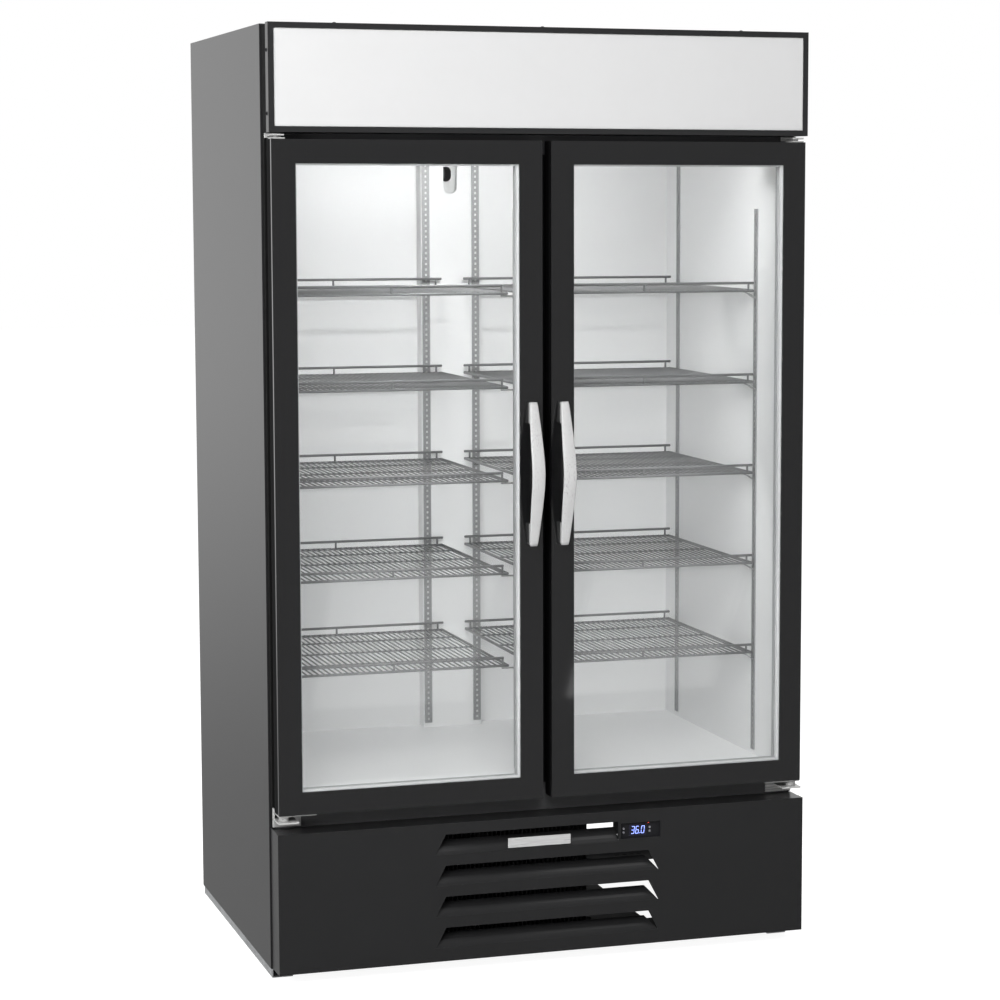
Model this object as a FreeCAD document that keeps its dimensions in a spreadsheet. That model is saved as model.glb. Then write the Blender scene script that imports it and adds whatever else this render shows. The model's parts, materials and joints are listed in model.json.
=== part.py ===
import FreeCAD
import Part
import math
import os
import re

from FreeCAD import Placement, Rotation, Vector

# Two-door glass merchandiser, millimetres, +Z up, +Y towards the back.
# The origin is on the floor, under the centre of the whole object's box.
# Depths in the sheet count from the front edge of the side panels, forwards is negative.
DIMS = {
    # cabinet box
    "half_width": 597.0,
    "cab_depth": 775.0,
    "cab_height": 2021.0,
    "front_reach": 138.0,
    "skin": 1.5,
    "rail_height": 20.0,
    "rail_width": 45.0,
    "pan_edge": 303.0,
    "pan_front": 140.0,
    "pan_rear": 680.0,
    "pan_lip": 25.0,
    "inner_half": 563.0,
    "inner_back": 712.0,
    "floor_top": 391.0,
    "ceiling": 1960.0,
    "deck_top": 330.0,
    # front frame and mullion
    "frame_half": 594.0,
    "frame_thick": 20.0,
    "jamb_inner": 556.0,
    "head_bottom": 1755.0,
    "head_top": 1796.5,
    "mullion_half": 21.0,
    "mullion_depth": 90.0,
    "cap_half": 36.0,
    # header sign
    "sign_front": -82.7,
    "sign_return": 26.0,
    "sign_bottom": 1796.8,
    "sign_top": 2020.1,
    "sign_border": 12.3,
    "header_bottom": 1797.0,
    "header_top": 2017.5,
    # doors
    "door_inner": 9.8,
    "door_outer": 592.4,
    "door_bottom": 369.3,
    "door_top": 1783.3,
    "door_front": -80.8,
    "door_thick": 45.0,
    "stile": 50.8,
    "rail_low": 48.5,
    "rail_high": 49.9,
    "glass_bite": 10.0,
    "glass_front": -77.0,
    "pane": 4.0,
    "glass_unit": 22.0,
    "gasket_wide": 14.0,
    "gasket_gap": 0.5,
    # hinges
    "hinge_x": 578.0,
    "hinge_y": -60.0,
    "pin_r": 5.0,
    "pin_gap": 0.05,
    "plate": 3.0,
    # handles
    "handle_x": 35.0,
    "handle_mid": 1077.0,
    "handle_length": 308.0,
    "handle_end_width": 17.5,
    "handle_mid_width": 28.5,
    "handle_thick": 7.0,
    "handle_end_out": 17.0,
    "handle_foot": 47.0,
    "handle_foot_half": 6.5,
    # louvered lower panel
    "panel_front": -87.0,
    "panel_bottom": 28.0,
    "panel_top": 330.5,
    "panel_return": 26.0,
    "louver_pitch": 68.1,
    "louver_low": 57.8,
    "louver_height": 44.0,
    "louver_half_low": 254.0,
    "louver_half_high": 231.0,
    "blade_radius": 58.0,
    "blade_lean": 25.0,
    "blade_reach": 28.0,
    "blade_cut_back": 10.0,
    # controller and nameplate
    "control_left": 166.6,
    "control_right": 258.4,
    "control_low": 267.0,
    "control_high": 301.5,
    "control_sunk": 5.0,
    "button_r": 2.5,
    "button_gap": 0.05,
    "button_out": 1.0,
    "plate_left": -92.0,
    "plate_right": 50.0,
    "plate_low": 266.6,
    "plate_high": 288.0,
    # shelves and pilasters
    "tier_top": 1472.5,
    "tier_pitch": 206.25,
    "slot_pitch": 12.890625,
    "pilaster_wide": 18.0,
    "pilaster_deep": 3.0,
    "pilaster_low": 402.5,
    "pilaster_high": 1638.5,
    "pilaster_tall": 1755.0,
    "pilaster_front_y": 126.0,
    "pilaster_rear_y": 629.0,
    "column_half": 72.6,
    "column_front": 674.0,
    "column_top": 1752.0,
    "column_pilaster_x": 61.0,
    "shelf_inner": 26.0,
    "shelf_outer": 554.0,
    "shelf_front": 114.0,
    "shelf_rear": 661.0,
    "shelf_rod": 3.0,
    "shelf_cross": 2.0,
    "shelf_wire": 1.6,
    "shelf_drop": 17.5,
    # refrigeration
    "evap_fan_r": 84.0,
    "evap_fan_x": 190.0,
    "evap_fan_z": 1868.0,
    "cond_fan_r": 120.0,
    "cond_fan_x": -85.0,
    "cond_fan_z": 170.0,
    "shaft_r": 4.0,
    "shaft_gap": 0.05,
}

TIERS = 5
MIRROR = (-1, 1)

doc = FreeCAD.newDocument("glass_door_merchandiser")
sheet = doc.addObject("Spreadsheet::Sheet", "Dims")
for row, (alias, number) in enumerate(DIMS.items(), start=1):
    sheet.set(f"A{row}", alias)
    sheet.set(f"B{row}", str(number))
    sheet.setAlias(f"B{row}", alias)
doc.recompute()

ALIAS = re.compile(r"\b(" + "|".join(sorted(DIMS, key=len, reverse=True)) + r")\b")
SHIFT = "(front_reach - cab_depth) / 2"
NODES = {}


def bound(text):
    """An expression with every alias pointing into the sheet."""
    return ALIAS.sub(r"Dims.\1", str(text))


def size(alias):
    """A driving dimension as a number."""
    return float(sheet.get(alias))


SHIFT_Y = (size("front_reach") - size("cab_depth")) / 2


def node(obj, label):
    """Names a finished sub-part: its label is the name of its file."""
    obj.Label = label
    NODES[label] = obj
    return obj


def place(obj, x, y, z, rotation=None):
    """Puts an object at a corner given as expressions, y from the side panels' front edge."""
    if rotation is not None:
        obj.Placement = Placement(Vector(), rotation)
    obj.setExpression("Placement.Base.x", bound(x))
    obj.setExpression("Placement.Base.y", bound(f"{y} + {SHIFT}"))
    obj.setExpression("Placement.Base.z", bound(z))


def block(name, x, y, z):
    """A box between pairs of expressions, low end first."""
    obj = doc.addObject("Part::Box", name)
    obj.setExpression("Length", bound(f"({x[1]}) - ({x[0]})"))
    obj.setExpression("Width", bound(f"({y[1]}) - ({y[0]})"))
    obj.setExpression("Height", bound(f"({z[1]}) - ({z[0]})"))
    place(obj, x[0], y[0], z[0])
    return obj


def sided(side, low, high):
    """A pair of x expressions on one side of the middle, low end first."""
    return (f"-({high})", f"-({low})") if side < 0 else (str(low), str(high))


AXES = {
    "x": Rotation(Vector(0, 1, 0), 90),
    "y": Rotation(Vector(1, 0, 0), -90),
    "z": Rotation(),
}


def rod(name, radius, length, x, y, z, axis="z"):
    """A cylinder that starts at a point and runs along +x, +y or +z."""
    obj = doc.addObject("Part::Cylinder", name)
    obj.setExpression("Radius", bound(radius))
    obj.setExpression("Height", bound(length))
    place(obj, x, y, z, AXES[axis])
    return obj


def group(label, members):
    """Separate solids that share one node."""
    obj = doc.addObject("Part::Compound", label)
    obj.Links = members
    return node(obj, label)


def fused(name, members):
    obj = doc.addObject("Part::MultiFuse", name)
    obj.Shapes = members
    return obj


def bundle(name, members):
    obj = doc.addObject("Part::Compound", name)
    obj.Links = members
    return obj


def cut(name, base, tool):
    obj = doc.addObject("Part::Cut", name)
    obj.Base = base
    obj.Tool = tool
    return obj


def feature(label, shape):
    """A sub-part whose shape is made here from sheet sizes, in side-panel depths."""
    obj = doc.addObject("Part::Feature", label)
    obj.Shape = shape
    obj.Placement = Placement(Vector(0, SHIFT_Y, 0), Rotation()).multiply(shape.Placement)
    return obj


def bar(x, y, z):
    """A plain box shape between number pairs."""
    return Part.makeBox(x[1] - x[0], y[1] - y[0], z[1] - z[0], Vector(x[0], y[0], z[0]))


def prism(points, direction):
    """A closed outline swept straight along a direction."""
    return Part.Face(Part.makePolygon(points + points[:1])).extrude(direction)


def matrix_rotation(x_to, y_to, z_to):
    return Rotation(Vector(*x_to), Vector(*y_to), Vector(*z_to), "XYZ")


# Each member of a mitred frame is a wedge whose long side is on the frame's outer edge.
MITRE = {
    "low": matrix_rotation((1, 0, 0), (0, 0, 1), (0, -1, 0)),
    "high": matrix_rotation((1, 0, 0), (0, 0, -1), (0, 1, 0)),
    "left": matrix_rotation((0, 0, 1), (1, 0, 0), (0, 1, 0)),
    "right": matrix_rotation((0, 0, 1), (-1, 0, 0), (0, -1, 0)),
}


def mitred_member(name, side, x, y, z, widths):
    """One mitred member: x, y, z are the frame's outer pairs, widths are left, right, low, high."""
    obj = doc.addObject("Part::Wedge", name)
    flat = side in ("low", "high")
    long_side = f"({x[1]}) - ({x[0]})" if flat else f"({z[1]}) - ({z[0]})"
    first, last = (widths[0], widths[1]) if flat else (widths[2], widths[3])
    own = widths[("left", "right", "low", "high").index(side)]
    depth = f"({y[1]}) - ({y[0]})"
    for prop, text in {
        "Xmin": "0", "Ymin": "0", "Zmin": "0", "Z2min": "0",
        "Xmax": long_side, "Ymax": own, "Zmax": depth, "Z2max": depth,
        "X2min": first, "X2max": f"{long_side} - ({last})",
    }.items():
        obj.setExpression(prop, bound(text))
    start_x = x[1] if side == "right" else x[0]
    start_y = y[1] if side in ("low", "right") else y[0]
    start_z = z[1] if side == "high" else z[0]
    place(obj, start_x, f"({start_y})", start_z, MITRE[side])
    return obj


def mitred_frame(name, x, y, z, widths):
    return [mitred_member(f"{name}_{side}", side, x, y, z, widths) for side in MITRE]


def pill(name, radius, y, z):
    """A round-ended tool through the middle of the cabinet, between two depths and two heights."""
    members = [block(f"{name}_middle", (f"-{radius}", radius), y, z)]
    for end, level in zip(("low", "high"), z):
        members.append(rod(f"{name}_{end}", radius, f"({y[1]}) - ({y[0]})", "0", y[0], level, "y"))
    return fused(name, members)


# ---------------------------------------------------------------- cabinet box

def cabinet():
    """Outer skins, base rails and pan, foam walls, white liner."""
    rails = []
    for side, name in zip(MIRROR, ("left", "right")):
        edge = sided(side, "half_width - 3 - rail_width", "half_width - 3")
        hollow = sided(side, "half_width - 1 - rail_width", "half_width - 5")
        run = ("0.5", "cab_depth - 0.5")
        outer = block(f"rail_{name}_outer", edge, run, ("0", "rail_height"))
        inner = block(f"rail_{name}_inner", hollow, ("-1", "cab_depth + 1"), ("2", "rail_height - 2"))
        channel = cut(f"rail_{name}_channel", outer, inner)
        boss_x = f"{side} * (half_width - 3 - rail_width / 2)"
        holes = []
        for end, depth in (("front", "40"), ("rear", "cab_depth - 40")):
            holes.append(rod(f"rail_{name}_{end}_hole", "6.35", "4", boss_x, depth, "-1"))
        rails.append(cut(f"rail_{name}", channel, bundle(f"rail_{name}_holes", holes)))
    group("base_rails", rails)

    inside = ("-half_width + skin", "half_width - skin")
    pan = block("pan_sheet", inside, ("0", "cab_depth"), ("rail_height", "rail_height + 2"))
    vent = block("pan_vent", ("pan_edge", "half_width - 5 - rail_width"), ("pan_front", "pan_rear"),
                 ("rail_height - 1", "rail_height + 3"))
    slots = []
    for index in range(4):
        start = f"440 + {19 * index}"
        slots.append(block(f"pan_slot_{index}", (start, f"{start} + 11"), ("736", "742"),
                           ("rail_height - 1", "rail_height + 3")))
    opened = cut("pan_opened", pan, bundle("pan_openings", [vent] + slots))
    lip = block("pan_rear_lip", inside, ("cab_depth - 2", "cab_depth"),
                ("rail_height + 1", "rail_height + 2 + pan_lip"))
    node(fused("base_pan", [opened, lip]), "base_pan")
    for side, name in zip(MIRROR, ("left", "right")):
        skin = block(f"side_skin_{name}", sided(side, "half_width - skin", "half_width"),
                     ("0", "cab_depth"), ("rail_height", "cab_height"))
        fold = block(f"side_fold_{name}", sided(side, "half_width - 30", "half_width - skin"),
                     ("0", "skin"), ("rail_height + 2", "cab_height - skin"))
        node(fused(f"side_wrap_{name}", [skin, fold]), f"side_panel_{name}")
    top_z = ("cab_height - skin", "cab_height")
    node(block("top_panel", inside, ("0", "cab_depth"), top_z), "top_panel")
    back_z = ("deck_top - skin", "cab_height - skin")
    node(block("back_panel", inside, ("cab_depth - skin", "cab_depth"), back_z), "back_panel")

    deck_z = ("deck_top - skin", "deck_top")
    members = [block("machine_deck", inside, ("skin", "cab_depth - skin"), deck_z)]
    for side, name in zip(MIRROR, ("left", "right")):
        x = sided(side, "frame_half - 2", "frame_half")
        z = ("rail_height + 2", "panel_top - skin")
        y = ("panel_front + panel_return", "0")
        members.append(block(f"front_bracket_{name}", x, y, z))
    group("base_frame", members)

    wall_z = ("floor_top - skin", "ceiling + skin")
    foam_y = ("inner_back + skin", "cab_depth - skin")
    foam_back = block("foam_back_slab", inside, foam_y, wall_z)
    liner_back = block("liner_back_sheet", ("-inner_half - skin", "inner_half + skin"),
                       ("inner_back", "inner_back + skin"), wall_z)
    port = pill("line_port", "13.5", ("inner_back - 1", "cab_depth - 12"), ("1715.5", "1724.5"))
    foam = [
        block("foam_floor", inside, ("skin", "cab_depth - skin"), ("deck_top", "floor_top - skin")),
        block("foam_roof", inside, ("skin", "cab_depth - skin"), ("ceiling + skin", "cab_height - skin")),
        cut("foam_back", foam_back, port),
        block("foam_header", ("-inner_half", "inner_half"), ("skin", "38"), ("head_bottom", "ceiling")),
    ]
    liner_roof = block("liner_roof", ("-inner_half", "inner_half"), ("0", "inner_back"),
                       ("ceiling", "ceiling + skin"))
    liners = [cut("liner_back", liner_back, port), liner_roof]
    for side, name in zip(MIRROR, ("left", "right")):
        foam_x = sided(side, "inner_half + skin", "half_width - skin")
        foam.append(block(f"foam_{name}", foam_x, ("skin", "inner_back + skin"), wall_z))
        wall_x = sided(side, "inner_half", "inner_half + skin")
        liners.append(block(f"liner_{name}", wall_x, ("0", "inner_back"), wall_z))
    group("foam_insulation", foam)
    group("liner_walls", liners)
    floor_z = ("floor_top - skin", "floor_top")
    floor = block("liner_floor", ("-inner_half", "inner_half"), ("0", "inner_back"), floor_z)
    node(floor, "liner_floor")
    header_z = ("head_bottom", "ceiling")
    outer = block("header_wall_outer", ("-inner_half", "inner_half"), ("0", "skin"), header_z)
    inner = block("header_wall_inner", ("-inner_half", "inner_half"), ("38", "38 + skin"), header_z)
    group("header_wall", [outer, inner])


def front_frame():
    """Black breaker frame round the opening, the white mullion and its black cap."""
    y = ("-frame_thick", "0")
    between = ("-jamb_inner", "jamb_inner")
    members = [
        block("front_head", between, y, ("head_bottom", "head_top")),
        block("front_sill", between, y, ("panel_top", "floor_top")),
    ]
    for side, name in zip(MIRROR, ("left", "right")):
        x = sided(side, "jamb_inner", "frame_half")
        members.append(block(f"front_jamb_{name}", x, y, ("panel_top", "head_top")))
    group("front_frame", members)
    post_z = ("floor_top", "head_bottom")
    post = block("center_mullion", ("-mullion_half", "mullion_half"), ("0", "mullion_depth"), post_z)
    node(post, "center_mullion")
    node(block("mullion_cap", ("-cap_half", "cap_half"), y, post_z), "mullion_cap")


# ---------------------------------------------------------------- header sign

def header():
    """Mitred sign frame, translucent panel, lamp box, lamps and the screw heads."""
    x = ("-half_width", "half_width")
    y = ("sign_front", "sign_front + sign_return")
    z = ("sign_bottom", "sign_top")
    tool = block("sign_slot", ("-half_width + 5", "half_width - 5"),
                 ("sign_front + 2.5", "sign_front + 5.5"), ("sign_bottom + 5", "sign_top - 5"))
    members = []
    for member in mitred_frame("sign_bar", x, y, z, ["sign_border"] * 4):
        members.append(cut(f"{member.Name}_slotted", member, tool))
    group("sign_frame", members)
    panel = block("sign_panel", ("-half_width + 5", "half_width - 5"),
                  ("sign_front + 2.5", "sign_front + 5.5"), ("sign_bottom + 5", "sign_top - 5"))
    node(panel, "sign_panel")

    depth = ("sign_front + sign_return", "0")
    walls = [
        block("header_floor", ("-frame_half + 2", "frame_half - 2"), depth,
              ("header_bottom", "header_bottom + 2")),
        block("header_roof", ("-frame_half + 2", "frame_half - 2"), depth,
              ("header_top - 2", "header_top")),
        block("header_end_left", ("-frame_half", "-frame_half + 2"), depth, ("header_bottom", "header_top")),
        block("header_end_right", ("frame_half - 2", "frame_half"), depth, ("header_bottom", "header_top")),
    ]
    back_x = sided(1, "inner_half", "frame_half - 2")
    walls.append(block("header_back_right", back_x, ("-2", "0"), ("header_bottom + 2", "header_top - 2")))
    back_x = sided(-1, "inner_half", "frame_half - 2")
    walls.append(block("header_back_left", back_x, ("-2", "0"), ("header_bottom + 2", "header_top - 2")))
    group("header_box", walls)
    lamp_x = ("-560", "560")
    lamps = [
        block("sign_lamp_low", lamp_x, ("-40", "-20"), ("header_bottom + 2", "header_bottom + 16")),
        block("sign_lamp_high", lamp_x, ("-40", "-20"), ("header_top - 16", "header_top - 2")),
    ]
    group("sign_lamps", lamps)
    lamp = block("interior_lamp", ("-540", "540"), ("39.5", "58"), ("1768", "1782"))
    node(lamp, "interior_lamp")

    heads = []
    for index, x_place in enumerate(("-455", "-5.6", "444")):
        heads.append(screw_head(f"screw_top_{index}", x_place, "-70", "sign_top", "z"))
    for side, name in zip(MIRROR, ("left", "right")):
        axis = "x" if side > 0 else "-x"
        for index, z_place in enumerate(("1834.6", "1963.6")):
            tag = f"screw_{name}_{index}"
            heads.append(screw_head(tag, f"{side} * half_width", "-67", z_place, axis))
        sill_x = f"{side} * 569.4"
        heads.append(screw_head(f"screw_sill_{name}", sill_x, "-frame_thick", "359", "-y"))
    group("exterior_screws", heads)


HEAD_AXES = {
    "z": Rotation(),
    "x": Rotation(Vector(0, 1, 0), 90),
    "-x": Rotation(Vector(0, 1, 0), -90),
    "-y": Rotation(Vector(1, 0, 0), 90),
}


def screw_head(name, x, y, z, axis):
    """A low domed head whose flat side is on a face."""
    obj = doc.addObject("Part::Cone", name)
    obj.Radius1 = 4.0
    obj.Radius2 = 2.4
    obj.Height = 2.0
    place(obj, x, y, z, HEAD_AXES[axis])
    return obj


# ---------------------------------------------------------------- doors

def door(side, name):
    """Mitred frame round a sealed double pane, with gasket, handle and hinge plates."""
    x = sided(side, "door_inner", "door_outer")
    y = ("door_front", "door_front + door_thick")
    z = ("door_bottom", "door_top")
    widths = ["stile", "stile", "rail_low", "rail_high"]
    unit_x = (f"{x[0]} + stile - glass_bite", f"{x[1]} - stile + glass_bite")
    unit_y = ("glass_front", "glass_front + glass_unit")
    unit_z = ("door_bottom + rail_low - glass_bite", "door_top - rail_high + glass_bite")
    pin_x = f"{side} * hinge_x"
    bore = "pin_r + pin_gap"
    tools = [
        block(f"groove_{name}", unit_x, unit_y, unit_z),
        rod(f"bore_low_{name}", bore, "16", pin_x, "hinge_y", "door_bottom - 1"),
        rod(f"bore_high_{name}", bore, "16", pin_x, "hinge_y", "door_top - 15"),
    ]
    tool = bundle(f"door_tools_{name}", tools)
    members = []
    for member in mitred_frame(f"door_bar_{name}", x, y, z, widths):
        members.append(cut(f"{member.Name}_cut", member, tool))
    group(f"door_frame_{name}", members)

    panes = []
    for place_name, start in (("outer", "glass_front"), ("inner", "glass_front + glass_unit - pane")):
        panes.append(block(f"pane_{place_name}_{name}", unit_x, (start, f"{start} + pane"), unit_z))
    group(f"door_glass_{name}", panes)

    gap_y = ("glass_front + pane", "glass_front + glass_unit - pane")
    outer = block(f"spacer_outer_{name}", unit_x, gap_y, unit_z)
    inner_x = (f"{unit_x[0]} + glass_bite", f"{unit_x[1]} - glass_bite")
    inner_z = (f"{unit_z[0]} + glass_bite", f"{unit_z[1]} - glass_bite")
    inner = block(f"spacer_inner_{name}", inner_x, gap_y, inner_z)
    node(cut(f"glass_spacer_{name}", outer, inner), f"glass_spacer_{name}")

    seal_y = ("door_front + door_thick", "-frame_thick - gasket_gap")
    seal_x = (f"{x[0]} + 8", f"{x[1]} - 18") if side > 0 else (f"{x[0]} + 18", f"{x[1]} - 8")
    seal_z = ("door_bottom + 5", "door_top - 9")
    outer = block(f"seal_outer_{name}", seal_x, seal_y, seal_z)
    inner = block(f"seal_inner_{name}", (f"{seal_x[0]} + gasket_wide", f"{seal_x[1]} - gasket_wide"),
                  seal_y, (f"{seal_z[0]} + gasket_wide", f"{seal_z[1]} - gasket_wide"))
    node(cut(f"door_gasket_{name}", outer, inner), f"door_gasket_{name}")

    node(feature(f"door_handle_{name}", handle_shape(side)), f"door_handle_{name}")

    plate_y = ("hinge_y - 16", "hinge_y + 18")
    low = block(f"plate_low_body_{name}", sided(side, "511", "door_outer"), plate_y,
                ("door_bottom - plate", "door_bottom"))
    high = block(f"plate_high_body_{name}", sided(side, "562", "door_outer - 2"), plate_y,
                 ("door_top", "door_top + plate"))
    plates = []
    for tag, body in (("low", low), ("high", high)):
        start = "door_bottom - plate - 1" if tag == "low" else "door_top - 1"
        hole = rod(f"plate_hole_{tag}_{name}", bore, "plate + 2", pin_x, "hinge_y", start)
        plates.append(cut(f"plate_{tag}_{name}", body, hole))
    group(f"hinge_plates_{name}", plates)


def arch(points):
    """An arc edge through three points given as pairs in the plane x = 0."""
    return Part.Arc(*[Vector(0, y, z) for y, z in points]).toShape()


def handle_shape(side):
    """A bowed flat pull: wide and proud in the middle, narrow at its two feet."""
    mid = size("handle_mid")
    half = size("handle_length") / 2
    face = size("door_front")
    out = -size("front_reach")
    end_out = face - size("handle_end_out")
    thick = size("handle_thick")
    centre = side * size("handle_x")
    wide = size("handle_mid_width") / 2
    narrow = size("handle_end_width") / 2
    outer = [(end_out, mid - half), (out, mid), (end_out, mid + half)]
    inner = [(end_out + thick, mid + half), (out + thick, mid), (end_out + thick, mid - half)]
    edges = [arch(outer), Part.makeLine(Vector(0, *outer[2]), Vector(0, *inner[0]))]
    edges += [arch(inner), Part.makeLine(Vector(0, *inner[2]), Vector(0, *outer[0]))]
    band = Part.Face(Part.Wire(edges)).extrude(Vector(2 * wide, 0, 0))
    band.translate(Vector(centre - wide, 0, 0))

    def edge_arc(sign):
        ends = [(sign * narrow, mid - half), (sign * wide, mid), (sign * narrow, mid + half)]
        return [Vector(centre + dx, out - 5, z) for dx, z in ends]

    right, left = edge_arc(1), edge_arc(-1)
    outline = Part.Wire([
        Part.Arc(*right).toShape(), Part.makeLine(right[2], left[2]),
        Part.Arc(*left).toShape(), Part.makeLine(left[0], right[0]),
    ])
    mask = Part.Face(outline).extrude(Vector(0, face - out, 0))
    pull = band.common(mask)

    foot, foot_half = size("handle_foot"), size("handle_foot_half")
    low, high = (face, mid - half), (face, mid + half)
    web_edges = [arch(outer), Part.makeLine(Vector(0, *outer[2]), Vector(0, *high))]
    web_edges += [Part.makeLine(Vector(0, *high), Vector(0, *low)),
                  Part.makeLine(Vector(0, *low), Vector(0, *outer[0]))]
    web = Part.Face(Part.Wire(web_edges)).extrude(Vector(2 * foot_half, 0, 0))
    web.translate(Vector(centre - foot_half, 0, 0))
    feet = []
    for start, end in ((mid - half + 1, mid - half + foot), (mid + half - foot, mid + half - 1)):
        foot_x = (centre - foot_half, centre + foot_half)
        feet.append(web.common(bar(foot_x, (end_out + 3, face), (start, end))))
    return pull.fuse(feet).removeSplitter()


def hinges():
    """Zinc brackets on the cabinet and the pins that the doors turn on."""
    brackets = []
    pins = []
    for side, name in zip(MIRROR, ("left", "right")):
        pin_x = f"{side} * hinge_x"
        arm_y = ("hinge_y - 22", "-frame_thick")
        high_y = ("hinge_y - 16", "-frame_thick")
        high_arm = block(f"high_arm_{name}", sided(side, "564", "590"), high_y, ("1790", "1793.5"))
        high_lug = block(f"high_lug_{name}", sided(side, "559", "frame_half"),
                         ("-frame_thick - plate", "-frame_thick"), ("1786", "1796.5"))
        low_arm = block(f"low_arm_{name}", sided(side, "550", "frame_half"), arm_y, ("351.5", "355"))
        low_lug = block(f"low_lug_{name}", sided(side, "533", "frame_half"),
                        ("-frame_thick - plate", "-frame_thick"), ("334", "355"))
        stop = block(f"low_stop_{name}", sided(side, "591", "frame_half"),
                     ("-frame_thick - 12", "-frame_thick"), ("355", "376"))
        for tag, members in (("high", [high_arm, high_lug]), ("low", [low_arm, low_lug, stop])):
            solid = fused(f"bracket_{tag}_{name}_body", members)
            start = "1785" if tag == "high" else "350"
            hole = rod(f"bracket_{tag}_{name}_hole", "pin_r", "12", pin_x, "hinge_y", start)
            brackets.append(cut(f"bracket_{tag}_{name}", solid, hole))
        pins.append(rod(f"pin_high_{name}", "pin_r", "1793.5 - door_top + 12", pin_x, "hinge_y",
                        "door_top - 12"))
        shaft = rod(f"pin_shaft_{name}", "pin_r", "door_bottom + 12 - 351.5", pin_x, "hinge_y", "351.5")
        collar = rod(f"pin_collar_{name}", "11", "door_bottom - plate - 0.3 - 355", pin_x, "hinge_y", "355")
        pins.append(fused(f"pin_low_{name}", [shaft, collar]))
    group("hinge_brackets", brackets)
    group("hinge_pins", pins)


# ---------------------------------------------------------------- lower panel and controls

def louver_outline(low, high, left_low, left_high, right_low, right_high, y):
    """The slanted-end outline of one louver opening."""
    return [Vector(left_low, y, low), Vector(right_low, y, low),
            Vector(right_high, y, high), Vector(left_high, y, high)]


def rolled_blade(y, z, gauge, x):
    """A sheet that leaves the panel at a lean and rolls further back as it rises."""
    radius, reach = size("blade_radius"), size("blade_reach")
    lean = math.radians(size("blade_lean"))
    centre = Vector(x[0], y + radius * math.cos(lean), z - radius * math.sin(lean))
    outer = Part.makeCylinder(radius, x[1] - x[0], centre, Vector(1, 0, 0))
    inner = Part.makeCylinder(radius - gauge, x[1] - x[0], centre, Vector(1, 0, 0))
    return outer.cut(inner).common(bar(x, (y, y + reach), (z, z + reach)))


def lower_panel():
    """Sheet-metal front with four pressed-in louvers, framed by a top shelf and folded returns."""
    half, front, skin = size("half_width"), size("panel_front"), size("skin")
    low, high, back = size("panel_bottom"), size("panel_top"), size("panel_front") + size("panel_return")
    pitch, reach = size("louver_pitch"), size("blade_reach")
    wide, narrow = size("louver_half_low"), size("louver_half_high")
    sheet_metal = bar((-half, half), (front, front + skin), (low, high))
    openings, blades = [], []
    for row in range(4):
        base = size("louver_low") + row * pitch
        top = base + size("louver_height")
        right_low, right_high = wide, narrow
        if row == 3:
            right_low = right_high = size("control_left") - 6
        outline = louver_outline(base, top, -wide, -narrow, right_low, right_high, front - 1)
        openings.append(prism(outline, Vector(0, skin + 2, 0)))
        slant = (wide - narrow) * (reach - 1) / size("louver_height")
        end = right_low - (slant + size("blade_cut_back") if row < 3 else 0)
        ends = louver_outline(base - 1, base - 1 + reach, -wide, -wide + slant, right_low, end, front - 1)
        roll = rolled_blade(front, base - 1, skin, (-wide, right_low))
        blades.append(roll.common(prism(ends, Vector(0, reach + 2, 0))))
    openings.append(bar((size("control_left"), size("control_right")), (front - 1, front + skin + 1),
                        (size("control_low"), size("control_high"))))
    sheet_metal = sheet_metal.cut(openings)
    tab_x = (size("plate_left") + 20, size("plate_right") - 20)
    tab = bar(tab_x, (front, front + skin), (size("plate_low") - 6, size("plate_high") - 2))
    behind = front + skin
    folds = [
        bar((-half, -half + skin), (behind, back), (low, high)),
        bar((half - skin, half), (behind, back), (low, high)),
        bar((-half + skin, half - skin), (behind, -size("frame_thick")), (high - skin, high)),
        bar((-half + skin, half - skin), (behind, front + 18), (low, low + skin)),
    ]
    louvered = sheet_metal.fuse([tab] + blades).removeSplitter()
    node(feature("lower_panel", Part.makeCompound([louvered] + folds)), "lower_panel")

    plate_y = ("panel_front - 2", "panel_front")
    plate_z = ("plate_low", "plate_high")
    node(block("nameplate", ("plate_left", "plate_right"), plate_y, plate_z), "nameplate")


KEY_PLACES = (("174.5", "288.5"), ("174.5", "280"), ("235", "288.5"), ("235", "280"))


def controller():
    """Digital thermostat sunk behind the panel: bored body, dark window and four sprung keys."""
    x = ("control_left", "control_right")
    z = ("control_low", "control_high")
    face = "panel_front + control_sunk"
    flange = block("controller_flange", ("control_left - 3", "control_right + 3"),
                   ("panel_front + skin", f"{face} + 12"), ("control_low - 3", "control_high + 3"))
    body = block("controller_body", ("control_left + 4", "control_right - 4"),
                 (f"{face} + 12", f"{face} + 60"), ("control_low + 3", "control_high - 3"))
    recess = block("controller_recess", x, ("panel_front", face), z)
    window_x, window_z = ("187", "227"), ("272", "296.5")
    pocket = block("display_pocket", window_x, (f"{face} - 1", f"{face} + 2"), window_z)
    tools = [recess, pocket]
    for number, (key_x, key_z) in enumerate(KEY_PLACES, start=1):
        tools.append(rod(f"key_bore_{number}", "button_r + button_gap", "8", key_x,
                         f"{face} - 1", key_z, "y"))
        key = rod(f"controller_key_{number}", "button_r", "button_out + 4", key_x,
                  f"{face} - button_out", key_z, "y")
        node(key, f"controller_key_{number}")
    solid = fused("controller_solid", [body, flange])
    housing = cut("controller_housing", solid, bundle("controller_tools", tools))
    node(housing, "controller_housing")
    window = block("controller_display", window_x, (f"{face} - 0.4", f"{face} + 2"), window_z)
    node(window, "controller_display")


# ---------------------------------------------------------------- inside fittings

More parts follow.
